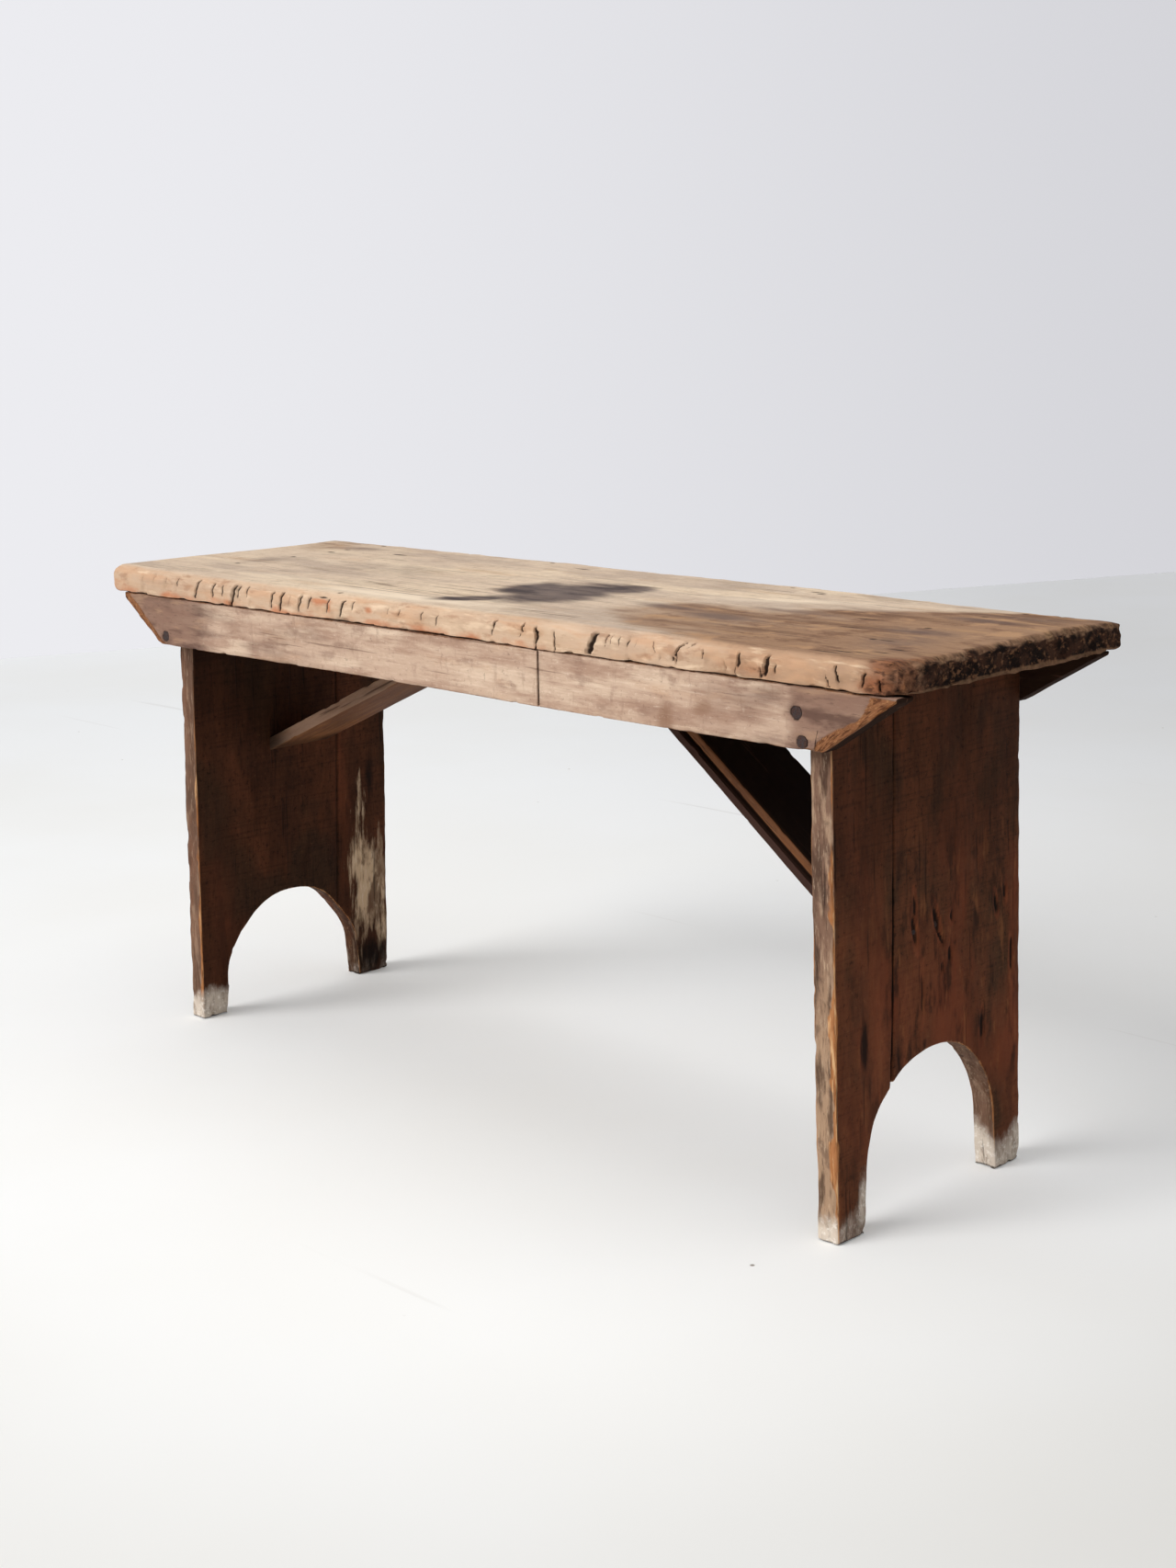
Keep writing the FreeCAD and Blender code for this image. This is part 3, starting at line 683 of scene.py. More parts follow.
wood = Finish("rubbed_apron_wood", 0.06, (196, 168, 146), Rings=150.0, Heart=0.03, Drift=0.01)
wood.lay(None,
         ((166, 134, 114), 0.85, 9, 40, 0.44, 0.62, 6.0, 0.65),
         ((220, 196, 172), 0.85, 8, 44, 0.5, 0.66, 6.0, 0.65),
         ((188, 146, 112), 0.4, 11, 34, 0.54, 0.7, 4.0),
         ((140, 110, 94), 0.55, 30, 60, 0.54, 0.68, 6.0),
         ((150, 112, 92), 0.2, "Rings"),
         ((118, 88, 73), 0.36, "Fibres", 0.45, -0.18),
         ((232, 212, 192), 0.32, "Fibres", 0.55, 0.2),
         ((122, 92, 76), 0.3, "Flecks", 0.43, -0.14),
         ((234, 214, 194), 0.36, "Flecks", 0.57, 0.16),
         ((112, 84, 70), 0.55, "Grime", 0.43, -0.12),
         ((230, 210, 190), 0.45, "Grime", 0.57, 0.12),
         ((140, 108, 92), 0.32, 110, 36, 0.54, 0.68, 5.0, 0.65))
wood.lay(("dusky", 12, 70, 0.8, 0.4),
         ((130, 99, 84), 0.85),
         ((86, 62, 54), 0.75, 12, 60, 0.46, 0.62, 6.0),
         ((168, 134, 108), 0.6, 16, 90, 0.52, 0.66, 6.0),
         ((74, 54, 48), 0.5, "Flecks", 0.45, -0.14))
wood.lay(None,
         ((128, 92, 70), 0.6, "brown", 16, 60, 0.8, 0.35),
         # painted shade on the aprons' inner faces and sawn end faces
         ((33, 18, 11), 0.96, "shade", 12, 60, 0.3, 0.3))
bare = wood.share("bare", 70, 150, 0.9, 0.2)
speckle = wood.sums("MULTIPLY", bare, (330, 330, 0.5, 0.62, 4.0))
wood.lay(bare, ((134, 86, 54), 0.9))
wood.lay(speckle, ((180, 130, 86), 0.55))
wood.lay(bare, ((78, 44, 27), 0.8, 180, 190, 0.5, 0.62, 5.0))
# dark marks, with painted shade in the nail holes, the kerf and the seam under the seat
wood.lay(None, ((34, 23, 20), 0.92, "soot", 40, 220, 0.35, 0.2), ((96, 66, 52), 0.5, "Checks"))
wood.lift((0.3, "Fibres"), (0.25, "Flecks"), (0.2, "Grime"), (-0.3, "Checks"), (-0.5, bare), (0.8, speckle))
dull = wood.sums("MAXIMUM", wood.sums("MULTIPLY", ("Mottle",), 0.4), ("shade",))
apron_wood = wood.finish(0.5, 0.98, dull, 0.5)

for word, outward, nails, seed in (("front", -1, FRONT_NAILS, 21), ("back", 1, BACK_NAILS, 26)):
    low, high = corners(f"{word}_apron")
    left, right, foot, top = low[0], high[0], low[2], high[2]
    thickness = high[1] - low[1]
    nail_places = np.array(nails)
    columns = [left, right, *nail_places[:, 0]]
    if word == "front":
        columns += [KERF_PLACE - 0.6, KERF_PLACE + 0.6]
    along = lines(left, right, APRON_NET_STEP, columns, 0.6, 7)
    across = lines(foot, top, APRON_NET_STEP, [foot, top, *nail_places[:, 1]], 0.7, 7)
    through = lines(0, thickness, THROUGH_STEP, (0, thickness), 0.9, 6)
    piece, points = sawn_board(f"{word}_apron_board", along, across, through)
    keep_grain(piece, points, seed, middle=foot + 6)
    x, up, deep = points.T.copy()
    show = fade(deep, 1.2, 0.0)
    distance, way, _ = round_plan(points, np.array([left, foot]), np.array([right, top]), 1.2)

    # How far the slanting ends, sawn in below their blunt noses, move each point in
    slants = APRON_SLANTS[word]
    drop = np.clip(top - up, 0, None)
    left_in = slants[0] * np.clip(drop - APRON_LEFT_NOSE, 0, None) / (top - foot - APRON_LEFT_NOSE)
    right_in = slants[1] * np.clip(drop - APRON_RIGHT_NOSE, 0, None) / (top - foot - APRON_RIGHT_NOSE)
    left_in *= np.clip(1 - (x - left) / (slants[0] + APRON_END_REACH), 0, 1)
    right_in *= np.clip(1 - (right - x) / (slants[1] + APRON_END_REACH), 0, 1)
    x += left_in - right_in
    share = np.clip(drop / (top - foot), 0, 1)
    from_end = np.minimum(x - left - slants[0] * share, right - slants[1] * share - x) * SLANT_SINE

    # Arrises and surface. The lower arris at each end of the front is worn to a broad bevel.
    rub = 1.6 + 0.8 * noise(points, (50, 99, 99), seed) + 0.5 * noise(points, (12, 99, 99), seed + 1)
    ragged = 1 + 0.35 * noise(points, (6, 6, 6), seed + 2)
    show_rub = rub + fade(from_end, 18, 3) * np.where(x > 0, 3.2, 1.6) * ragged
    round_arris(points, distance, way, 0.0, -1, np.clip(show_rub, 0.5, 7))
    round_arris(points, distance, way, thickness, 1, np.clip(rub, 0.5, 7))
    moved = worn_back(points, distance, seed + 5, (0.3, 180, 30, 99), (0.12, 120, 6, 9),
                      (1.1, 0.5, 0.95, 12, 12, 8))
    dark = np.zeros(len(points))
    for nail_x, nail_up in nails:
        gap = np.hypot(x - nail_x, up - nail_up)
        moved -= show * 1.2 * fade(gap, 5.8, 4.5)
        # A dark ring round each nail head is painted shade in its sunken hole, with a fainter dark halo
        # round it
        dark = most(dark, show * 0.95 * fade(gap, 5.4, 4.7), show * 0.4 * fade(gap, 9, 5))
    band = np.zeros(len(points))
    dusky = most(0.9 * fade(x, -270, -370), 0.35 * fade(x, -120, -300) * fade(up, 405, 420),
                 0.9 * fade(x, 368, 396), spots(x, up, (0.5, 350, 422, 60, 10)),
                 0.35 * fade(x, 230, 320), 0.28 * fade(x, 0, -160))
    brown = spots(x, up, (0.45, -180, 384, 120, 6))
    if word == "front":
        kerf_gap = np.abs(x - KERF_PLACE)
        moved -= show * 4.0 * fade(kerf_gap, 0.85, 0.6)
        scratch = np.abs(x - 409 - (up - 395) * 0.2)
        # The kerf is darkened inside as painted shade, beside a scratch and dark marks
        dark = most(dark, show * most(
            fade(kerf_gap, 1.6, 0.7),
            0.5 * fade(np.abs(x - 134), 1.2, 0.2) * fade(up, 400, 428),
            0.8 * fade(np.abs(x + 365.5), 1.3, 0.3) * fade(up, 398, 392),
            0.7 * fade(scratch, 1.0, 0.2) * fade(np.abs(up - 395), 9, 6),
            0.45 * fade(spots(x, up, (1, -119, 398, 3.5, 2.2), (1, -111, 391, 2.2, 1.5),
                              (1, 60, 402, 2.0, 4.0)), 0.2, 0.7)))
        brown = most(brown, show * spots(x, up, (0.9, 262, 391, 9, 12), (0.8, 300, 404, 10, 6, 20)))
        line = np.interp(x, (402, 410, 425, 443, 449, 454, 457), (380, 393, 402.5, 410.5, 415, 424, 431))
        band = most(show * fade(up, line + 2.5, line - 2.5) * fade(x, 400, 410) * 0.85,
                    show * fade(from_end, 7.5, 3.0) * (x < 0) * 0.85)
        moved -= show * (0.8 + 0.9 * noise(points, (5, 4, 5), seed + 9)) * band
    clip_face = fade(from_end, 2, 0)
    worn_clip = clip_face * fade(deep + 1.5 * noise(points, (6, 6, 6), seed + 10), 5, 2)
    worn_clip *= fade(np.abs(x), 466, 450)
    bare = most(band, 0.85 * worn_clip, 0.5 * fade(distance, 2.2, 0.2) * (0.4 + 0.6 * ragged)
                * (1 - clip_face) * fade(x, right - 12, right - 26))
    points = push(piece, points, moved)
    # Painted shade: the inner face, the back apron but for its outer face, and the sawn end faces behind
    # their worn front are darkened, on top of the end grain's own dark stain
    shade = most(fade(deep, 2, thickness), clip_face * (1 - worn_clip),
                 0.8 * (word == "back") * (deep > 3))
    bare *= 0.4 if word == "back" else 1.0
    # Painted shade: a dark line along the top, in the seam under the seat
    dark = most(dark, 0.6 * fade(top - up, 1.0, 0.1) * show)
    keep_mask(piece, bare=bare, dusky=dusky, brown=brown, soot=dark, shade=shade)

    points[:, 0] += left_in - right_in
    bow = 0.9 * np.exp(-((x + 130) / 170) ** 2) - 0.7 * np.exp(-((x - 250) / 90) ** 2)
    points[:, 1] += bow * (drop / (top - foot)) ** 2
    face = (low[1] if outward < 0 else high[1]) - outward * points[:, 2]
    finish_board(piece, (points[:, 0], face, points[:, 1]), f"{word}_apron", apron_wood)


# Seat plank. One wide pine plank lies over the legs and both aprons and is nailed down through
# its top. Long use has rounded its edges, stained it and cut a row of knife nicks in its front
# edge, and its right end is a ragged, dirty end of the grain.

# How round the left, right, front and back edges of the top are
SEAT_NOSES = np.array([13.5, 7.5, 11.5, 8.0])
# The corners in plan: the left ones, what the front right one is worn by, and the back right one
SEAT_CORNER, WORN_CORNER, SHARP_CORNER = 12.0, 14.0, 2.0
SEAT_NET_STEPS = 2.7, 6.5
# Height of the round nose of the front edge, the way up it and over it by straight lines, and how
# much of that the round way is
NOSE_HEIGHT, NOSE_RUN, ROUND_SHARE = 11.5, 23.0, 0.785
# Height of the dark marks in the top, in metres
MARK_HEIGHT = 0.456
# Nicks in the front edge: where they cross the top and the bottom of their run, how far up the
# edge they start and stop, how wide and how deep they are, and how dark
NICKS = (
    (-424, -426, 12, 18, 1.6, 0.7, 0.5), (-405, -407, 12, 19, 1.6, 0.8, 0.5),
    (-386, -387, 11, 18, 1.8, 0.8, 0.5), (-368, -369, 13, 20, 2.0, 1.0, 0.7),
    (-333, -339.5, 4.5, 22, 2.8, 2.2, 1.0), (-309, -312.5, 7, 19, 2.4, 1.7, 0.9),
    (-294, -296, 10, 17, 2.0, 1.2, 0.8), (-274, -284, 0, 22, 3.8, 3.2, 1.0),
    (-268, -274, 10, 21, 2.0, 1.4, 0.8), (-257.5, -259, 12, 22, 2.2, 1.4, 0.8),
    (-218, -223, 5, 18, 2.4, 1.7, 0.9), (-204, -209.6, 3, 20, 2.8, 2.2, 1.0),
    (-195, -197, 8, 17, 1.6, 0.7, 0.5), (-179, -183, 5, 19, 2.6, 2.2, 1.0),
    (-166, -169, 9, 18, 2.6, 2.0, 1.0), (-140, -144, 7, 20, 2.2, 1.0, 0.7),
    (-119, -126, 5, 20, 2.8, 1.8, 0.9), (-107, -109, 13, 21, 2.0, 1.1, 0.7),
    (-60, -61, 13, 20, 1.8, 0.8, 0.5), (-46, -47, 13, 19, 1.8, 1.0, 0.6),
    (-16, -18, 12, 18, 1.8, 1.0, 0.7), (3.6, 0.8, 9, 18, 1.9, 1.1, 0.8),
    (76, 70.7, 8, 20, 1.9, 2.0, 1.0), (109, 104, 9, 21, 1.9, 2.0, 1.0),
    (121.5, 125, 12, 18, 3.4, 3.0, 1.0), (125.5, 123, 6, 14, 3.2, 2.8, 1.0),
    (143, 145, 2, 16, 2.0, 1.9, 0.95), (190, 182, 3, 22, 7.5, 4.2, 1.0),
    (203, 200, 11, 21, 2.0, 1.3, 0.8), (208, 205, 13, 22, 1.6, 0.8, 0.6),
    (215, 214, 13, 20, 1.8, 1.0, 0.7), (224, 223.5, 13, 19, 1.8, 1.0, 0.8),
    (232, 231, 14, 21, 1.5, 0.7, 0.5), (248.6, 252.8, 12, 20, 2.0, 1.3, 0.8),
    (258, 258, 5, 9, 1.6, 0.8, 0.5), (284, 270, 7, 25, 2.8, 2.4, 1.0),
    (296, 284, 19, 25, 2.4, 1.6, 0.9), (276, 275, 5, 14, 1.9, 1.4, 0.8),
    (302, 301, 11, 18, 1.8, 1.0, 0.7), (336.8, 336, 9, 19, 3.8, 2.0, 0.9),
    (322, 324, 4, 12, 1.6, 0.8, 0.5), (333.6, 333, 1, 8, 1.7, 1.0, 0.7),
    (365, 361, 5, 20, 5.5, 3.0, 1.0), (372, 370, 8, 13, 2.5, 1.6, 0.9),
    (356, 358, 3, 9, 2.5, 1.6, 0.9), (416, 421.5, 2, 13, 1.9, 1.4, 0.8),
    (425, 429.6, 8, 19, 2.8, 2.2, 1.0), (452, 450, 6, 16, 3.0, 2.2, 0.9),
    (464, 466, 4, 12, 3.0, 2.2, 0.9))
# Dark marks in the top: across the bench, back, half length and half width
TOP_MARKS = ((-79, 114.5, 9, 1.6), (404, -125.5, 10, 1.8), (414, -118, 9, 1.6), (426, -113, 8, 1.4),
             (437, -104, 7, 1.6), (439, -86, 7, 1.6), (406, -56, 7, 1.5), (202, 118, 8, 2.0),
             (210, 112, 5, 1.6), (-386, 60, 5, 2.2), (-310, 86, 9, 2.6), (-388, -57, 3.2, 2.4),
             (-387, 12, 3, 2.4), (-389, 84, 3.4, 2.6), (395, 10, 3, 2.4), (396, 84, 3.2, 2.4),
             (394, -57, 3, 2.4), (-135, -133, 2.6, 2.2), (164, 130, 2.6, 2.2), (-386, 130, 3, 2.2),
             (-135, 130, 2.6, 2.2), (403, 130, 3, 2.2), (330, 20, 9, 1.2), (345, -20, 12, 1.1))

wood = Finish("worn_seat_wood", 0.1, (215, 192, 168), Rings=80.0, Heart=0.045, Drift=0.02)
edge = wood.share("edge")
wood.lay(None,
         ((186, 165, 147), 0.8, 6, 18, 0.44, 0.62, 6.0, 0.6),
         ((229, 206, 178), 0.9, 5, 20, 0.48, 0.64, 6.0, 0.6),
         ((166, 144, 120), 0.55, 12, 50, 0.54, 0.7, 6.0, 0.65),
         ((206, 166, 124), 0.4, 7, 40, 0.56, 0.72, 5.0),
         ((172, 128, 90), 0.12, "Rings"),
         ((138, 110, 90), 0.5, "Fibres", 0.45, -0.18),
         ((238, 218, 192), 0.5, "Fibres", 0.56, 0.18),
         ((134, 106, 86), 0.5, "Flecks", 0.44, -0.14),
         ((240, 222, 196), 0.5, "Flecks", 0.57, 0.16),
         ((142, 116, 96), 0.45, "Grime", 0.42, -0.12),
         ((232, 214, 190), 0.4, "Grime", 0.58, 0.12),
         ((166, 138, 114), 0.3, 60, 38, 0.5, 0.68, 6.0, 0.7),
         ((238, 220, 194), 0.3, 66, 42, 0.53, 0.7, 6.0, 0.7),
         # lighter patches, with a painted highlight band towards the back right
         ((244, 224, 198), 0.8, "light", 9, 40, 0.8, 0.4))
wood.lay(("brown", 7, 30, 0.9, 0.42),
         ((150, 112, 82), 0.9),
         ((106, 76, 58), 0.75, 7, 36, 0.46, 0.64, 5.0),
         ((186, 146, 106), 0.6, 9, 60, 0.54, 0.7, 5.0),
         ((92, 66, 50), 0.6, "Flecks", 0.44, -0.14),
         ((112, 78, 58), 0.66, 24, 44, 0.5, 0.62, 6.0, 0.65),
         ((188, 146, 108), 0.62, 30, 36, 0.53, 0.66, 5.0, 0.6),
         ((192, 156, 118), 0.45, "Flecks", 0.56, 0.14))
wood.lay(("smudge", 14, 50, 0.9, 0.4), ((104, 86, 80), 0.75))
wood.lay(("black", 12, 50, 0.8, 0.25),
         ((100, 86, 82), 0.92),
         ((60, 50, 52), 0.8, 14, 56, 0.42, 0.62, 5.0),
         ((136, 118, 106), 0.5, 26, 60, 0.52, 0.66, 6.0, 0.65))
wood.lay(edge,
         ((192, 157, 128), 0.6),
         ((199, 154, 119), 0.55, 20, 60, 0.46, 0.66, 5.0),
         ((154, 112, 84), 0.5, 40, 90, 0.56, 0.68, 6.0),
         ((234, 208, 177), 0.5, 30, 110, 0.54, 0.68, 6.0))
wood.lay(("bare", 50, 120, 0.9, 0.25), ((184, 108, 66), 0.75))
wood.lay(("rusty", 40, 80, 0.9, 0.35),
         ((128, 80, 54), 0.85),
         ((62, 38, 28), 0.8, 90, 160, 0.5, 0.64, 5.0),
         ((176, 118, 78), 0.6, 80, 180, 0.54, 0.68, 5.0))
wood.lay(("end", 90, 170, 0.9, 0.3),
         ((57, 34, 24), 0.96),
         ((16, 9, 7), 0.92, 60, 62, 0.38, 0.58, 6.0, 0.65, 80),
         ((130, 92, 66), 0.66, 150, 170, 0.53, 0.66, 5.0, 0.6, 210))
wood.lay(None,
         ((142, 108, 82), 0.75, "lip", 60, 120, 0.8, 0.25),
         # dark marks, with painted shade in the nicks, the kerf and the seam below the front edge
         ((34, 21, 16), 0.94, "soot", 60, 160, 0.3, 0.22))
wood.lay(("Checks",), ((96, 72, 58), 0.6, sums(wood.tree, "SUBTRACT", 1.0, edge)))
place = put(wood.tree, "TexCoord").outputs["Object"]
marks = 0.0
for x, y, long, wide in TOP_MARKS:
    gap = vectors(wood.tree, "SUBTRACT", place, (x * MM, y * MM, MARK_HEIGHT))
    gap = vectors(wood.tree, "MULTIPLY", gap, (1 / (long * MM), 1 / (wide * MM), 100.0))
    gap = put(wood.tree, "VectorMath", {0: gap}, operation="LENGTH").outputs["Value"]
    marks = wood.sums("MAXIMUM", marks, ramp(wood.tree, gap, 1.5, 0.5))
marks = wood.sums("MULTIPLY", marks, wood.sums("ADD", (60, 400, 0.3, 0.6), 0.35))
wood.lay(marks, ((48, 34, 28), 0.9))
tufts = wood.sums("MULTIPLY", ("end",), (120, 170, 0.3, 0.7, 3.0, 0.55, 150))
wood.lift((-1.0, marks), (0.3, "Fibres"), (0.3, "Flecks"), (0.25, "Grime"), (0.5, "Mottle"), (1.2, tufts))
dull = wood.sums("MAXIMUM", ("end",), ("soot",), wood.sums("MULTIPLY", ("Mottle",), 0.5))
seat_wood = wood.finish(0.5, 0.95, dull)

low, high = corners("seat_plank")
thickness = high[2] - low[2]
nick_places = [low[0], high[0], KERF_PLACE - 0.5, KERF_PLACE + 0.5]
nick_places += [(nick[0] + nick[1]) / 2 for nick in NICKS]
along = lines(low[0], high[0], SEAT_NET_STEPS[0], nick_places, 0.75, 6)
across = lines(low[1], high[1], SEAT_NET_STEPS[1], (low[1], high[1]), 1.1, 46)
through = lines(0, thickness, THROUGH_STEP, (0, thickness), 1.2, 12)
piece, points = sawn_board("seat_plank_board", along, across, through)
keep_grain(piece, points, 31, middle=30)
x, y, z = points.T.copy()
radius = np.where(x > 0, np.where(y < 0, SEAT_CORNER + WORN_CORNER, SHARP_CORNER), SEAT_CORNER)
distance, way, _ = round_plan(points, low[:2], high[:2], radius)

# Every edge has its own nose, and they run into each other round the corners
from_sides = np.stack([x - low[0], high[0] - x, y - low[1], high[1] - y], axis=1)
pull = 1 / (np.clip(from_sides, 0, None) + 0.8) ** 2
nose = (pull * SEAT_NOSES).sum(axis=1) / pull.sum(axis=1)
nose += 1.6 * noise(points, (60, 60, 99), 41) + 0.7 * noise(points, (16, 16, 99), 42)
nose = np.clip(nose + 2.0 * fade(x, 430, 478) * fade(y, -110, -140), 2, 15)
nose += 4.0 * fade(x, 440, 478) * fade(y, -100, -138)
nose += fade(x, 466, 476) * (1.5 + 3.0 * layered(points, (99, 22, 99), 40, 4))
rub = (2.6 + 1.2 * noise(points, (30, 30, 99), 43)) * (1 - 0.45 * fade(y, -120, -138))
rub += 8.0 * fade(x, low[0] + 22, low[0])
rub = np.where(x > 462, 0.8 + 4.0 * fade(y, 112, 140), rub)
round_arris(points, distance, way, thickness, 1, nose)
round_arris(points, distance, way, 0.0, -1, np.clip(rub, 0.8, 11))

# Length up the front edge, over its nose and on to the top
nose_foot = thickness - NOSE_HEIGHT
up_edge = z + np.clip(distance, 0, 14) * (z > thickness - ON_FACE)
rise = np.minimum(up_edge, nose_foot)
rise += ROUND_SHARE * np.clip(up_edge - nose_foot, 0, NOSE_RUN)
rise += np.clip(up_edge - nose_foot - NOSE_RUN, 0, None)
at_front = fade(y, -100, -128)
front_face = at_front * fade(rise, 34, 26)

# The surface: planing hollows, raised grain, dents in the worn edges, nicks and the saw's kerf
moved = -0.9 * np.abs(layered(points, (260, 80, 200), 44))
moved -= 0.25 * np.abs(noise(points, (150, 9, 20), 45))
moved -= 2.2 * fade(distance, 14, 0) * np.abs(layered(points, (46, 20, 18), 46))
moved -= 1.4 * fade(noise(points, (9, 9, 7), 47), 0.35, 0.85) * fade(distance, 12, 0)
dark = np.zeros(len(points))
for top_x, low_x, start, stop, wide, deep, shade in NICKS:
    start, stop = start - 2, stop + np.interp(top_x, (0, 150), (5, 3.5))
    wide *= np.interp(top_x, (-100, 150, 300), (1.25, 0.88, 0.75))
    share = np.clip((rise - start) / (stop - start), -0.4, 1.4)
    line = low_x + (top_x - low_x) * share + 0.35 * np.sin(rise * 0.9 + top_x)
    taper = fade(rise, start - 1.5, start + 3) * fade(rise, stop + 1.5, stop - 5)
    gap = np.abs(x - line) / (wide / 2)
    moved -= at_front * deep * taper * np.sqrt(np.clip(1 - gap ** 2, 0, 1))
    moved += at_front * 0.3 * deep * taper * np.exp(-((gap - 1.6) / 0.6) ** 2)
    shade *= np.interp(top_x, (-100, 80), (0.97, 1.0))
    # Each nick is darkened inside: painted shade in its hollow
    dark = most(dark, at_front * shade * taper * fade(gap, 1.4, 0.4))
kerf_gap = np.abs(x - KERF_PLACE)
moved -= at_front * 3.0 * fade(kerf_gap, 0.9, 0.5) * fade(rise, 9, 7)
# The kerf is darkened inside: painted shade
dark = most(dark, at_front * fade(kerf_gap, 1.5, 0.7) * fade(rise, 10, 7))
moved -= at_front * spots(x, rise, (1.8, 158, 9, 9, 6))
# The right end and the front corner beside it are torn out between the harder rings
fall = thickness - points[:, 2]
torn = most(fade(x, high[0] - 9, high[0] - 1) * fade(y, 142, 120) * fade(fall, 25.5, 20),
            fade(x, 442, 470) * front_face, fade(x, 458, 476) * fade(y, -80, -124))
moved -= torn * (0.6 + 1.3 * np.abs(layered(points, (14, 9, 5), 48)))
moved -= torn * 1.2 * fade(noise(points, (6, 7, 4), 49), 0.3, 0.8)
points = push(piece, points, moved)
points[:, 2] -= 3.0 * fade(x, 100, 480) * fade(y, 60, 145) * fade(z, 0, thickness)
points[:, 2] -= 1.8 * fade(y, 110, -80) * fade(z, 0, thickness) * fade(x, -483, -250)

# Where the plank is stained, worn bare and dirty, and where shade and a highlight are painted
tuft_line = 3.0 + 5.5 * layered(points, (60, 9, 60), 62, 4)
end = fade(x, high[0] - 16, high[0] - 9) * fade(fall, tuft_line - 2.5, tuft_line + 3.5)
end = most(end * fade(y, -128, -104), 0.5 * fade(x, high[0] - 26, high[0] - 4) * fade(y, -70, -116),
           0.45 * fade(x, high[0] - 15, high[0] - 4))
is_top = (z > thickness - ON_FACE) * 1.0
wander = 16 * layered(points, (90, 34, 99), 61)
black = most(spots(x, y, (0.95, -20, -86, 34, 13, 38), (0.9, 54, 32, 28, 26)),
             spots(x, y + wander / 3, (1, 27, -14, 44, 60), (1, -18, -8, 28, 30)))
back_line = np.interp(x, (104, 130, 162, 206, 240, 260, 311, 344, 399, 440),
                      (-40, -25, 2, 8, 18, 34, 64, 90, 125, 155))
front_line = np.interp(x, (90, 130, 200, 260, 330), (-55, -78, -118, -140, -160))
brown = fade(x + 1.5 * wander, 60, 175) * (0.72 + 0.38 * fade(x, 240, 430))
brown *= fade(y + wander, back_line + 26, back_line - 20) * fade(y, -158, -140)
brown *= fade(y + 0.6 * wander, front_line - 18, front_line + 18)
brown = most(brown, spots(x, y, (0.45, -440, 110, 50, 40)),
             at_front * most(0.5 * fade(x, 220, 340) * fade(rise, 24, 38), 0.2 * fade(x, 330, 440)),
             0.55 * fade(y, 132, 143) * fade(layered(points, (70, 99, 30), 63), 0.0, 0.5),
             0.45 * fade(x, -474, -481) * fade(layered(points, (99, 50, 20), 64), -0.1, 0.4))
smudge = spots(x, y, (0.9, 156, -22, 38, 9), (0.9, 230, -38, 38, 12), (0.75, 400, -8, 36, 14),
               (0.75, 410, 62, 34, 11), (0.5, 430, 100, 40, 20), (0.5, 352, 126, 30, 8),
               (0.45, -225, 10, 90, 30), (0.6, -380, 100, 30, 16), (0.5, 300, 60, 60, 10),
               (0.6, 420, -60, 30, 40), (0.6, 260, 20, 60, 8), (0.45, -390, -20, 20, 50))
# Lighter patches: worn pale near the front, and a painted highlight band towards the back right
light = most(spots(x, y, (0.8, -70, -112, 110, 16, 2), (0.6, 230, 70, 90, 14, 22),
                   (0.5, -260, -90, 90, 14)), at_front * spots(x, rise, (0.8, 150, 22, 26, 8)))
rusty = most(0.6 * fade(x, 452, 474) * fade(y, -60, -120),
             at_front * most(0.85 * fade(x, 430, 468), 0.2 * fade(rise, 9, 2) * fade(x, 250, 400),
                             spots(x, rise, (0.5, 345, 8, 30, 6))))
lip = 0.6 * fade(x, high[0] - 5, high[0] - 1) * fade(z + 2 * noise(points, (9, 9, 9), 65), 6, 3)
low_rub = fade(rise, 15, 2) * (0.45 + 0.3 * layered(points, (24, 99, 30), 66)) * fade(x, 200, 100)
bare = most(0.42 * fade(x, -470, -481) * fade(z, 22, 8), at_front * most(low_rub, spots(
    x, rise, (0.8, -151, 17, 15, 4), (0.7, -85, 14, 7, 3.5), (0.6, 1, 2, 10, 2.5),
    (0.7, -140, 12, 3, 7), (0.7, 465, 8, 18, 9), (0.45, -470, 9, 18, 9))))
# Painted shade: a dark line at the foot of the front edge, in the seam over the apron, beside one dark mark
dark = most(dark, at_front * most(spots(x, rise, (0.9, -150, 22.5, 6, 1.6)), 0.5 * fade(z, 1.0, 0.2)))
keep_mask(piece, black=black * is_top, brown=brown, smudge=smudge * is_top, edge=front_face,
          bare=bare, rusty=rusty, end=end, lip=lip, light=light, soot=dark)
finish_board(piece, (points + (0, 0, low[2])).T, "seat_plank", seat_wood)


# Braces. An offcut of board runs at a slant from each leg up to the underside of the seat. The
# left one is a thin plain batten. The right one is a piece of old flooring, with the groove of
# its joint along the front edge.

# For each brace: how high its upper face meets the leg, how far from the middle it meets the seat,
# and its thickness
BRACES = {"left": (278.0, 43.6, 12.0), "right": (218.0, 108.4, 20.0)}
GROOVE_WIDTH, GROOVE_DEPTH = 5.5, 6.0
BRACE_NET_STEP = 2.6

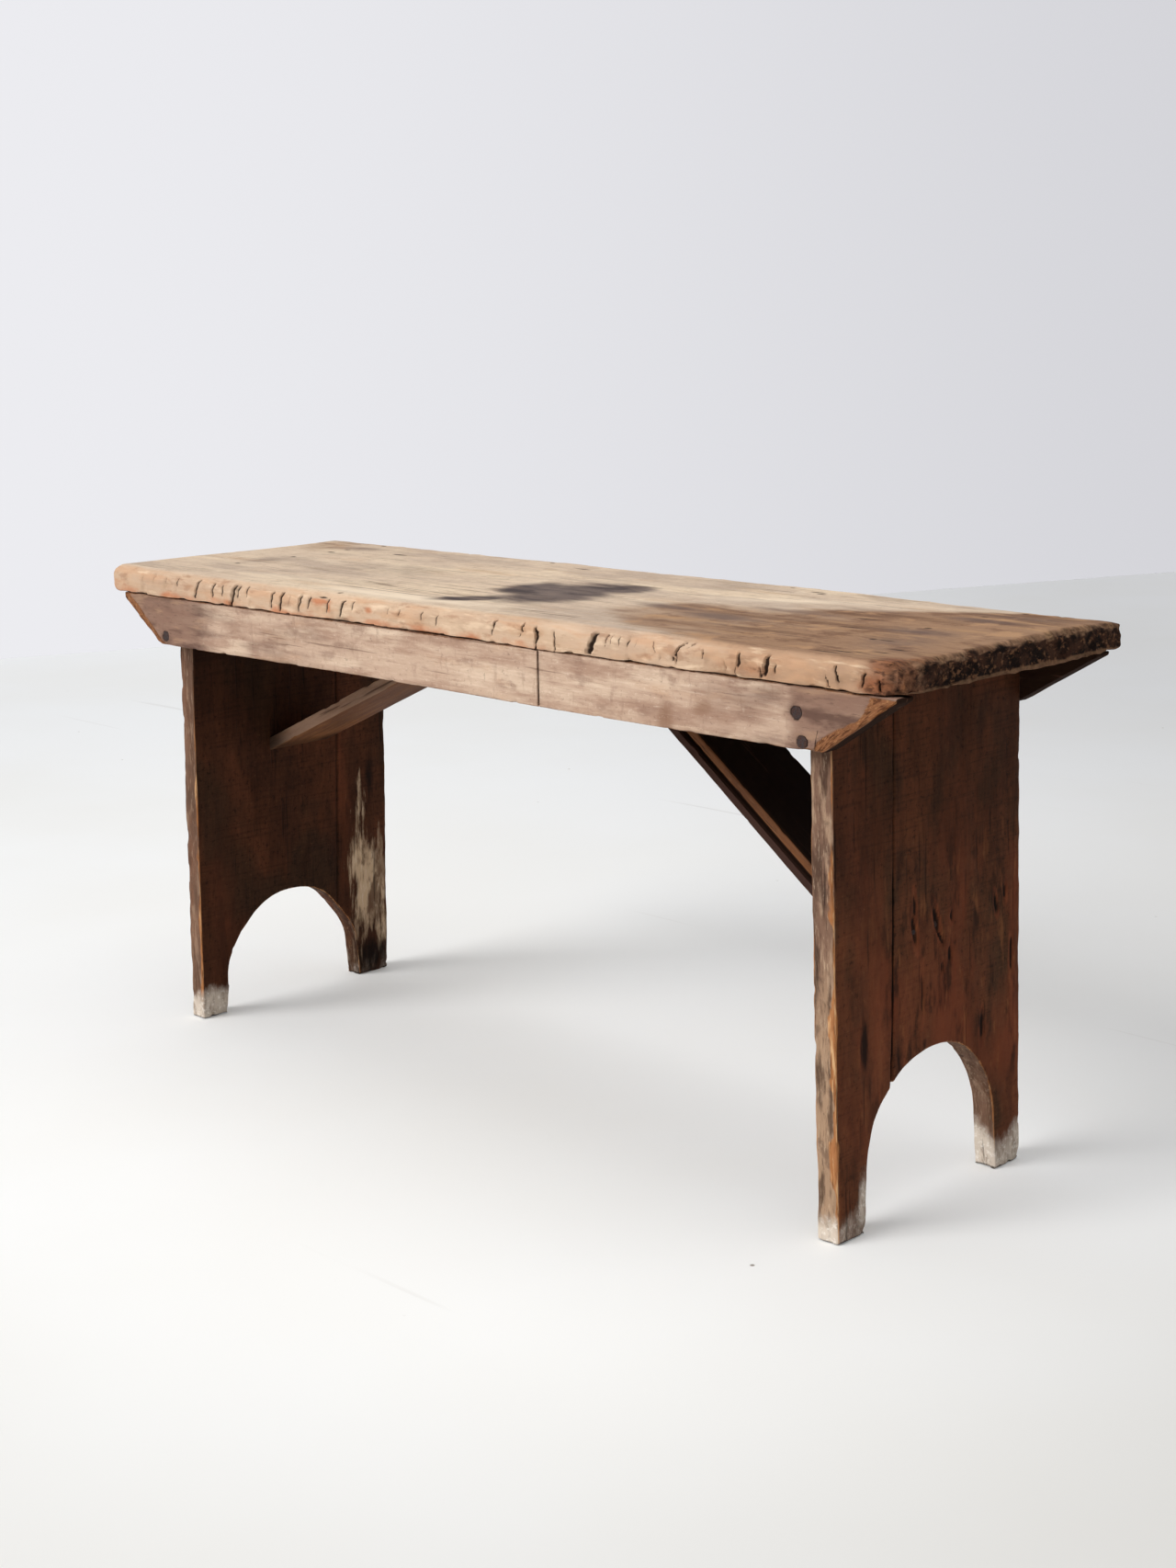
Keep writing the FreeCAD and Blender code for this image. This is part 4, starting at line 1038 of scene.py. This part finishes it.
wood = Finish("brace_wood", 0.05, (98, 63, 41), Rings=130.0, Heart=0.03, Drift=0.01)
wood.lay(None,
         ((126, 82, 52), 0.8, 8, 34, 0.45, 0.65, 5.0),
         ((84, 56, 44), 0.45, "Rings"),
         ((70, 46, 36), 0.6, "Fibres", 0.45, -0.23),
         ((150, 112, 84), 0.4, "Flecks", 0.56, 0.18),
         ((54, 36, 29), 0.45, "Grime", 0.44, -0.14),
         ((142, 116, 98), 0.8, "pale", 16, 90, 0.9, 0.3),
         ((58, 41, 37), 0.9, "dusky", 14, 110, 0.5, 0.3),
         ((170, 116, 74), 0.6, "bare", 30, 200, 0.7, 0.15),
         # painted shade on the braces' far faces, lower ends, groove and upper face
         ((18, 11, 8), 0.94, "shade", 14, 60, 0.4, 0.4),
         ((36, 25, 21), 0.9, "soot", 30, 150, 0.3, 0.25),
         ((60, 42, 34), 0.7, "Checks"))
wood.lift((0.4, "Fibres"), (-0.5, "Checks"))
brace_wood = wood.finish(0.6, 0.8, wood.grain["Mottle"])

for word, side, seed in (("left", -1, 51), ("right", 1, 57)):
    leg_low, leg_high = corners(f"{word}_leg")
    low, high = corners(f"{word}_brace")
    foot, seat_end, thickness = BRACES[word]
    seat_under, lean = leg_high[2], LEG_LEAN / leg_high[2]
    leg_inner = min(abs(leg_low[0]), abs(leg_high[0])) + LEG_LEAN
    start = np.array([leg_inner - lean * foot, foot])
    run = np.array([seat_end, seat_under]) - start
    length = math.hypot(*run)
    run /= length
    down = np.array([-run[1], run[0]])
    down *= -np.sign(down[1])
    groove = ((thickness - GROOVE_WIDTH) / 2, (thickness + GROOVE_WIDTH) / 2)
    along = lines(0, length, BRACE_NET_STEP, (0, length), 1.0, 5)
    across = lines(low[1], high[1], BRACE_NET_STEP, (low[1], high[1]), 0.8, 7)
    layers = list(lines(0, thickness, 2.4, (0, thickness), 0.8, 5))
    if side > 0:
        layers = sorted([layer for layer in layers if min(abs(layer - edge) for edge in groove) > 0.5]
                        + [edge + gap for edge in groove for gap in (-0.35, 0.0, 0.35)])
    piece, points = sawn_board(f"{word}_brace_board", along, across, np.array(layers))
    keep_grain(piece, points, seed, middle=5)
    way_up, back, deep = points.T.copy()
    flat_low, flat_high = np.array([0, low[1]]), np.array([length, high[1]])
    distance, way, _ = round_plan(points, flat_low, flat_high, 0.6)
    rub = 1.3 + 0.7 * noise(points, (30, 99, 99), seed) + 0.4 * noise(points, (8, 99, 99), seed + 1)
    for face, outwards in ((0.0, -1), (thickness, 1)):
        round_arris(points, distance, way, face, outwards, np.clip(rub, 0.4, 4))
    moved = worn_back(points, distance, seed + 2, (0.3, 120, 24, 30), (0.2, 90, 6, 6),
                      (1.2, 0.5, 0.9, 10, 10, 8))
    points = push(piece, points, moved)
    front_edge = fade(back, low[1] + 2.0, low[1] + 0.3)
    # Painted shade: darker towards the lower end against the leg, and away from the front edge
    shade = most(0.6 * fade(way_up, 60, 5), 0.3 * (deep > 2) * fade(back, low[1] + 4, low[1] + 30))
    if side > 0:
        in_groove = fade(deep, groove[0] - 0.2, groove[0] + 0.2)
        in_groove *= fade(deep, groove[1] + 0.2, groove[1] - 0.2) * (back < low[1] + ON_FACE)
        points[:, 1] += in_groove * GROOVE_DEPTH
        # Painted shade: the groove and the upper face behind the front edge are darkened, with a dark line
        # along the front of the upper face
        behind_front = (deep < 2) * fade(back, low[1] + 2, low[1] + 5)
        dark = most(0.95 * in_groove, (deep < ON_FACE) * fade(back, low[1], low[1] + 2), 0.85 * behind_front)
        pale, dusky = 0.1 * front_edge * (deep < groove[0]), front_edge * (deep > groove[1] - 0.1)
        shade, under_foot = most(shade, behind_front), np.zeros(len(points))
    else:
        pale, dusky = 0.66 * front_edge, 0.25 * (deep > 6) * fade(back, 10, 35)
        # A dark line along the front of the upper face
        dark = 0.8 * (deep < ON_FACE) * fade(back, low[1], low[1] + 2)
        under_foot = (deep > thickness - ON_FACE) * fade(way_up, 190, 60) * fade(back, 90, 30)
    arris = fade(distance, 2.4, 0) * fade(np.minimum(deep, thickness - deep), 3, 0)
    keep_mask(piece, pale=pale, dusky=dusky, bare=most(0.45 * arris, 0.42 * under_foot),
              soot=dark, shade=shade)

    # Both ends are sawn to fit: one against the leaning leg, one under the seat
    share = points[:, 0] / length
    first = -points[:, 2] * (down[0] + lean * down[1]) / (run[0] + lean * run[1])
    last = (seat_under - start[1] - down[1] * points[:, 2]) / run[1]
    reach = first + (last - first) * share
    placed = start + reach[:, None] * run + points[:, 2:3] * down
    finish_board(piece, (side * placed[:, 0], points[:, 1], placed[:, 1]), f"{word}_brace",
                 brace_wood)


# Nails. Cut iron nails with hammered heads, rusted dark. The big heads show in the aprons, and
# the rest are punched down and hidden by the wood.

iron, tree = new_material("rusted_iron")
place = put(tree, "TexCoord").outputs["Object"]
rust = ramp(tree, wavy(tree, place, 420.0, 5.0, 0.65), 0.42, 0.66)
colour = blend(tree, rust, tint(54, 40, 39), tint(76, 47, 35))
colour = blend(tree, ramp(tree, wavy(tree, place, 1500.0), 0.5, 0.7), colour, tint(30, 21, 20))
bump = put(tree, "Bump", {"Height": wavy(tree, place, 700.0, 4.0), "Distance": 0.4 * MM})
shader = tree.nodes["Principled BSDF"]
shader.inputs["Metallic"].default_value = 0.35
for name, made in (("Base Color", colour), ("Roughness", ramp(tree, rust, 0.0, 1.0, 0.5, 0.85)),
                   ("Normal", bump.outputs["Normal"])):
    tree.links.new(made, shader.inputs[name])
for held in ("front_apron", "back_apron", "left_leg", "right_leg", "front_seat", "back_seat",
             "left_brace", "right_brace"):
    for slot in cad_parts[held + "_nails"].material_slots:
        slot.material = iron


# Studio. A white floor and a pale wall behind it, a big soft window light from the front left,
# soft light from the ceiling, and a camera a little above the seat at the photograph's angle.

CAMERA_PLACE = (1.38263, -1.36159, 0.70197)
CAMERA_TURNS = (44.657, -12.303, -0.815)
CAMERA_LENS, CAMERA_SENSOR = 50.64, 36.0
FLOOR_SIZE = 40.0
# Middle of the painted pool of light on the floor, in metres
FLOOR_LIGHT_POOL = (0.05, -0.2, 0.0)
SHADOW_LIFT = 0.14
WALL_FOOT = ((-2.651, 0.996), (-1.533, 3.77))
WALL_LENGTH, WALL_HEIGHT = 60.0, 7.0
BACKDROP = (231, 230, 234)

yaw, pitch, roll = (math.radians(turn) for turn in CAMERA_TURNS)
bpy.ops.object.camera_add(location=CAMERA_PLACE)
camera = bpy.context.active_object
camera.data.lens = CAMERA_LENS
camera.data.sensor_width = CAMERA_SENSOR
turned = (Matrix.Rotation(yaw, 3, "Z") @ Matrix.Rotation(math.pi / 2 + pitch, 3, "X")
          @ Matrix.Rotation(roll, 3, "Z"))
camera.rotation_euler = turned.to_euler()
bpy.context.scene.camera = camera


def mixed(tree, end, share, first, second):
    """Ends a material or the world in a mix of two shaders."""
    either = put(tree, "MixShader", {0: share, 1: first, 2: second})
    tree.links.new(either.outputs[0], tree.nodes[end].inputs["Surface"])


# The floor is painted lighter on the left, a little darker towards the wall and the viewer, and lighter in a
# pool before the bench: a painted falloff and pool of light
bpy.ops.mesh.primitive_plane_add(size=FLOOR_SIZE)
floor = bpy.context.active_object
floor.name = "studio_floor"
paint, tree = new_material("floor_paint")
place = put(tree, "TexCoord").outputs["Object"]
rightward = vectors(tree, "DOT_PRODUCT", place, (0.71, 0.7, 0.0), "Value")
away = vectors(tree, "DOT_PRODUCT", place, (-0.7, 0.71, 0.0), "Value")
middle = vectors(tree, "DISTANCE", place, FLOOR_LIGHT_POOL, "Value")
clouds = wavy(tree, place, 1.4, 4.0)
colour = tint(243, 243, 242)
for value, low, high, seen, how in ((rightward, -0.5, 1.3, (213, 213, 213), "MIX"),
                                    (away, 0.2, 2.2, (241, 242, 244), "MULTIPLY"),
                                    (away, -0.25, -0.66, (243, 242, 240), "MULTIPLY"),
                                    (middle, 0.8, 0.25, (249, 249, 248), "MIX"),
                                    (clouds, 0.35, 0.7, (252, 251, 249), "MULTIPLY")):
    colour = blend(tree, ramp(tree, value, low, high), colour, tint(*seen), how)
dust = put(tree, "TexVoronoi", {"Vector": place, "Scale": 11.0}).outputs["Distance"]
specks = sums(tree, "MULTIPLY", ramp(tree, dust, 0.026, 0.012),
              ramp(tree, wavy(tree, place, 3.0), 0.46, 0.6))
colour = blend(tree, specks, colour, tint(150, 140, 130))
scuffs = ramp(tree, wavy(tree, stretched(tree, place, 1.2, 34.0, 1.0), 1.0), 0.7, 0.76)
colour = blend(tree, scuffs, colour, tint(244, 243, 242), "MULTIPLY")
shader = tree.nodes["Principled BSDF"]
shader.inputs["Specular IOR Level"].default_value = 0.15
shader.inputs["Roughness"].default_value = 0.7
tree.links.new(colour, shader.inputs["Base Color"])
# Painted light: to the camera the floor also glows with its own colour, which lightens its shadows
lift = sums(tree, "MULTIPLY", put(tree, "LightPath").outputs["Is Camera Ray"], SHADOW_LIFT)
lifted = put(tree, "Emission", {"Color": colour, "Strength": 1.0}).outputs[0]
mixed(tree, "Material Output", lift, shader.outputs[0], lifted)
floor.data.materials.append(paint)

# The wall is pale, painted darker from left to right as a falloff of light, and is seen only from its front
foot_start, foot_stop = (Vector((*place, 0.0)) for place in WALL_FOOT)
wall_way = (foot_stop - foot_start).normalized()
bpy.ops.mesh.primitive_plane_add(size=1)
wall = bpy.context.active_object
wall.name = "studio_wall"
wall_ends = [foot_start - wall_way * WALL_LENGTH / 2, foot_start + wall_way * WALL_LENGTH / 2]
for point in wall.data.vertices:
    end = wall_ends[point.co.x > 0]
    point.co = end + Vector((0, 0, WALL_HEIGHT if point.co.y > 0 else -0.001))
paint, tree = new_material("wall_paint")
place = put(tree, "TexCoord").outputs["Object"]
across = vectors(tree, "DOT_PRODUCT", place, tuple(wall_way), "Value")
start, stop = foot_start.dot(wall_way), foot_stop.dot(wall_way)
colour = blend(tree, ramp(tree, across, start - 0.4, stop + 0.6), tint(237, 237, 241), tint(211, 211, 216))
for low, high in ((start - 1.0, start - 4.0), (stop + 1.0, stop + 4.0)):
    colour = blend(tree, ramp(tree, across, low, high), colour, tint(*BACKDROP))
emission = put(tree, "Emission", {"Color": colour, "Strength": 1.0}).outputs[0]
before = sums(tree, "SUBTRACT", 1.0, put(tree, "NewGeometry").outputs["Backfacing"])
seen = sums(tree, "MULTIPLY", put(tree, "LightPath").outputs["Is Camera Ray"], before)
mixed(tree, "Material Output", seen, put(tree, "BsdfTransparent").outputs[0], emission)
wall.data.materials.append(paint)


def soft_sun(name, turn, height, spread, power):
    """Even soft light from one side. The turn is the way that it shines, from +X towards +Y."""
    bpy.ops.object.light_add(type="SUN", location=(0, 0, 3))
    lamp = bpy.context.active_object
    lamp.name = name
    lamp.data.energy = power
    lamp.data.angle = math.radians(spread)
    turn, height = math.radians(turn), math.radians(height)
    aim = Vector((math.cos(turn) * math.cos(height), math.sin(turn) * math.cos(height),
                  -math.sin(height)))
    lamp.rotation_euler = aim.to_track_quat("-Z", "Y").to_euler()


soft_sun("window", 69.0, 35.0, 34.0, 2.3)
soft_sun("ceiling", 0.0, 90.0, 62.0, 1.2)

# The air gives a faint cool light all round, and looks like the wall to the camera
world = bpy.data.worlds.new("studio_air")
bpy.context.scene.world = world
world.use_nodes = True
tree = world.node_tree
air = tree.nodes["Background"]
air.inputs["Color"].default_value = (0.97, 0.98, 1.0, 1)
air.inputs["Strength"].default_value = 0.3
backdrop = put(tree, "Background", {"Color": tint(*BACKDROP), "Strength": 1.0})
rays = put(tree, "LightPath").outputs
seen = sums(tree, "MAXIMUM", rays["Is Camera Ray"], rays["Is Transmission Ray"])
mixed(tree, "World Output", seen, air.outputs[0], backdrop.outputs[0])

bpy.context.scene.view_settings.view_transform = "Standard"
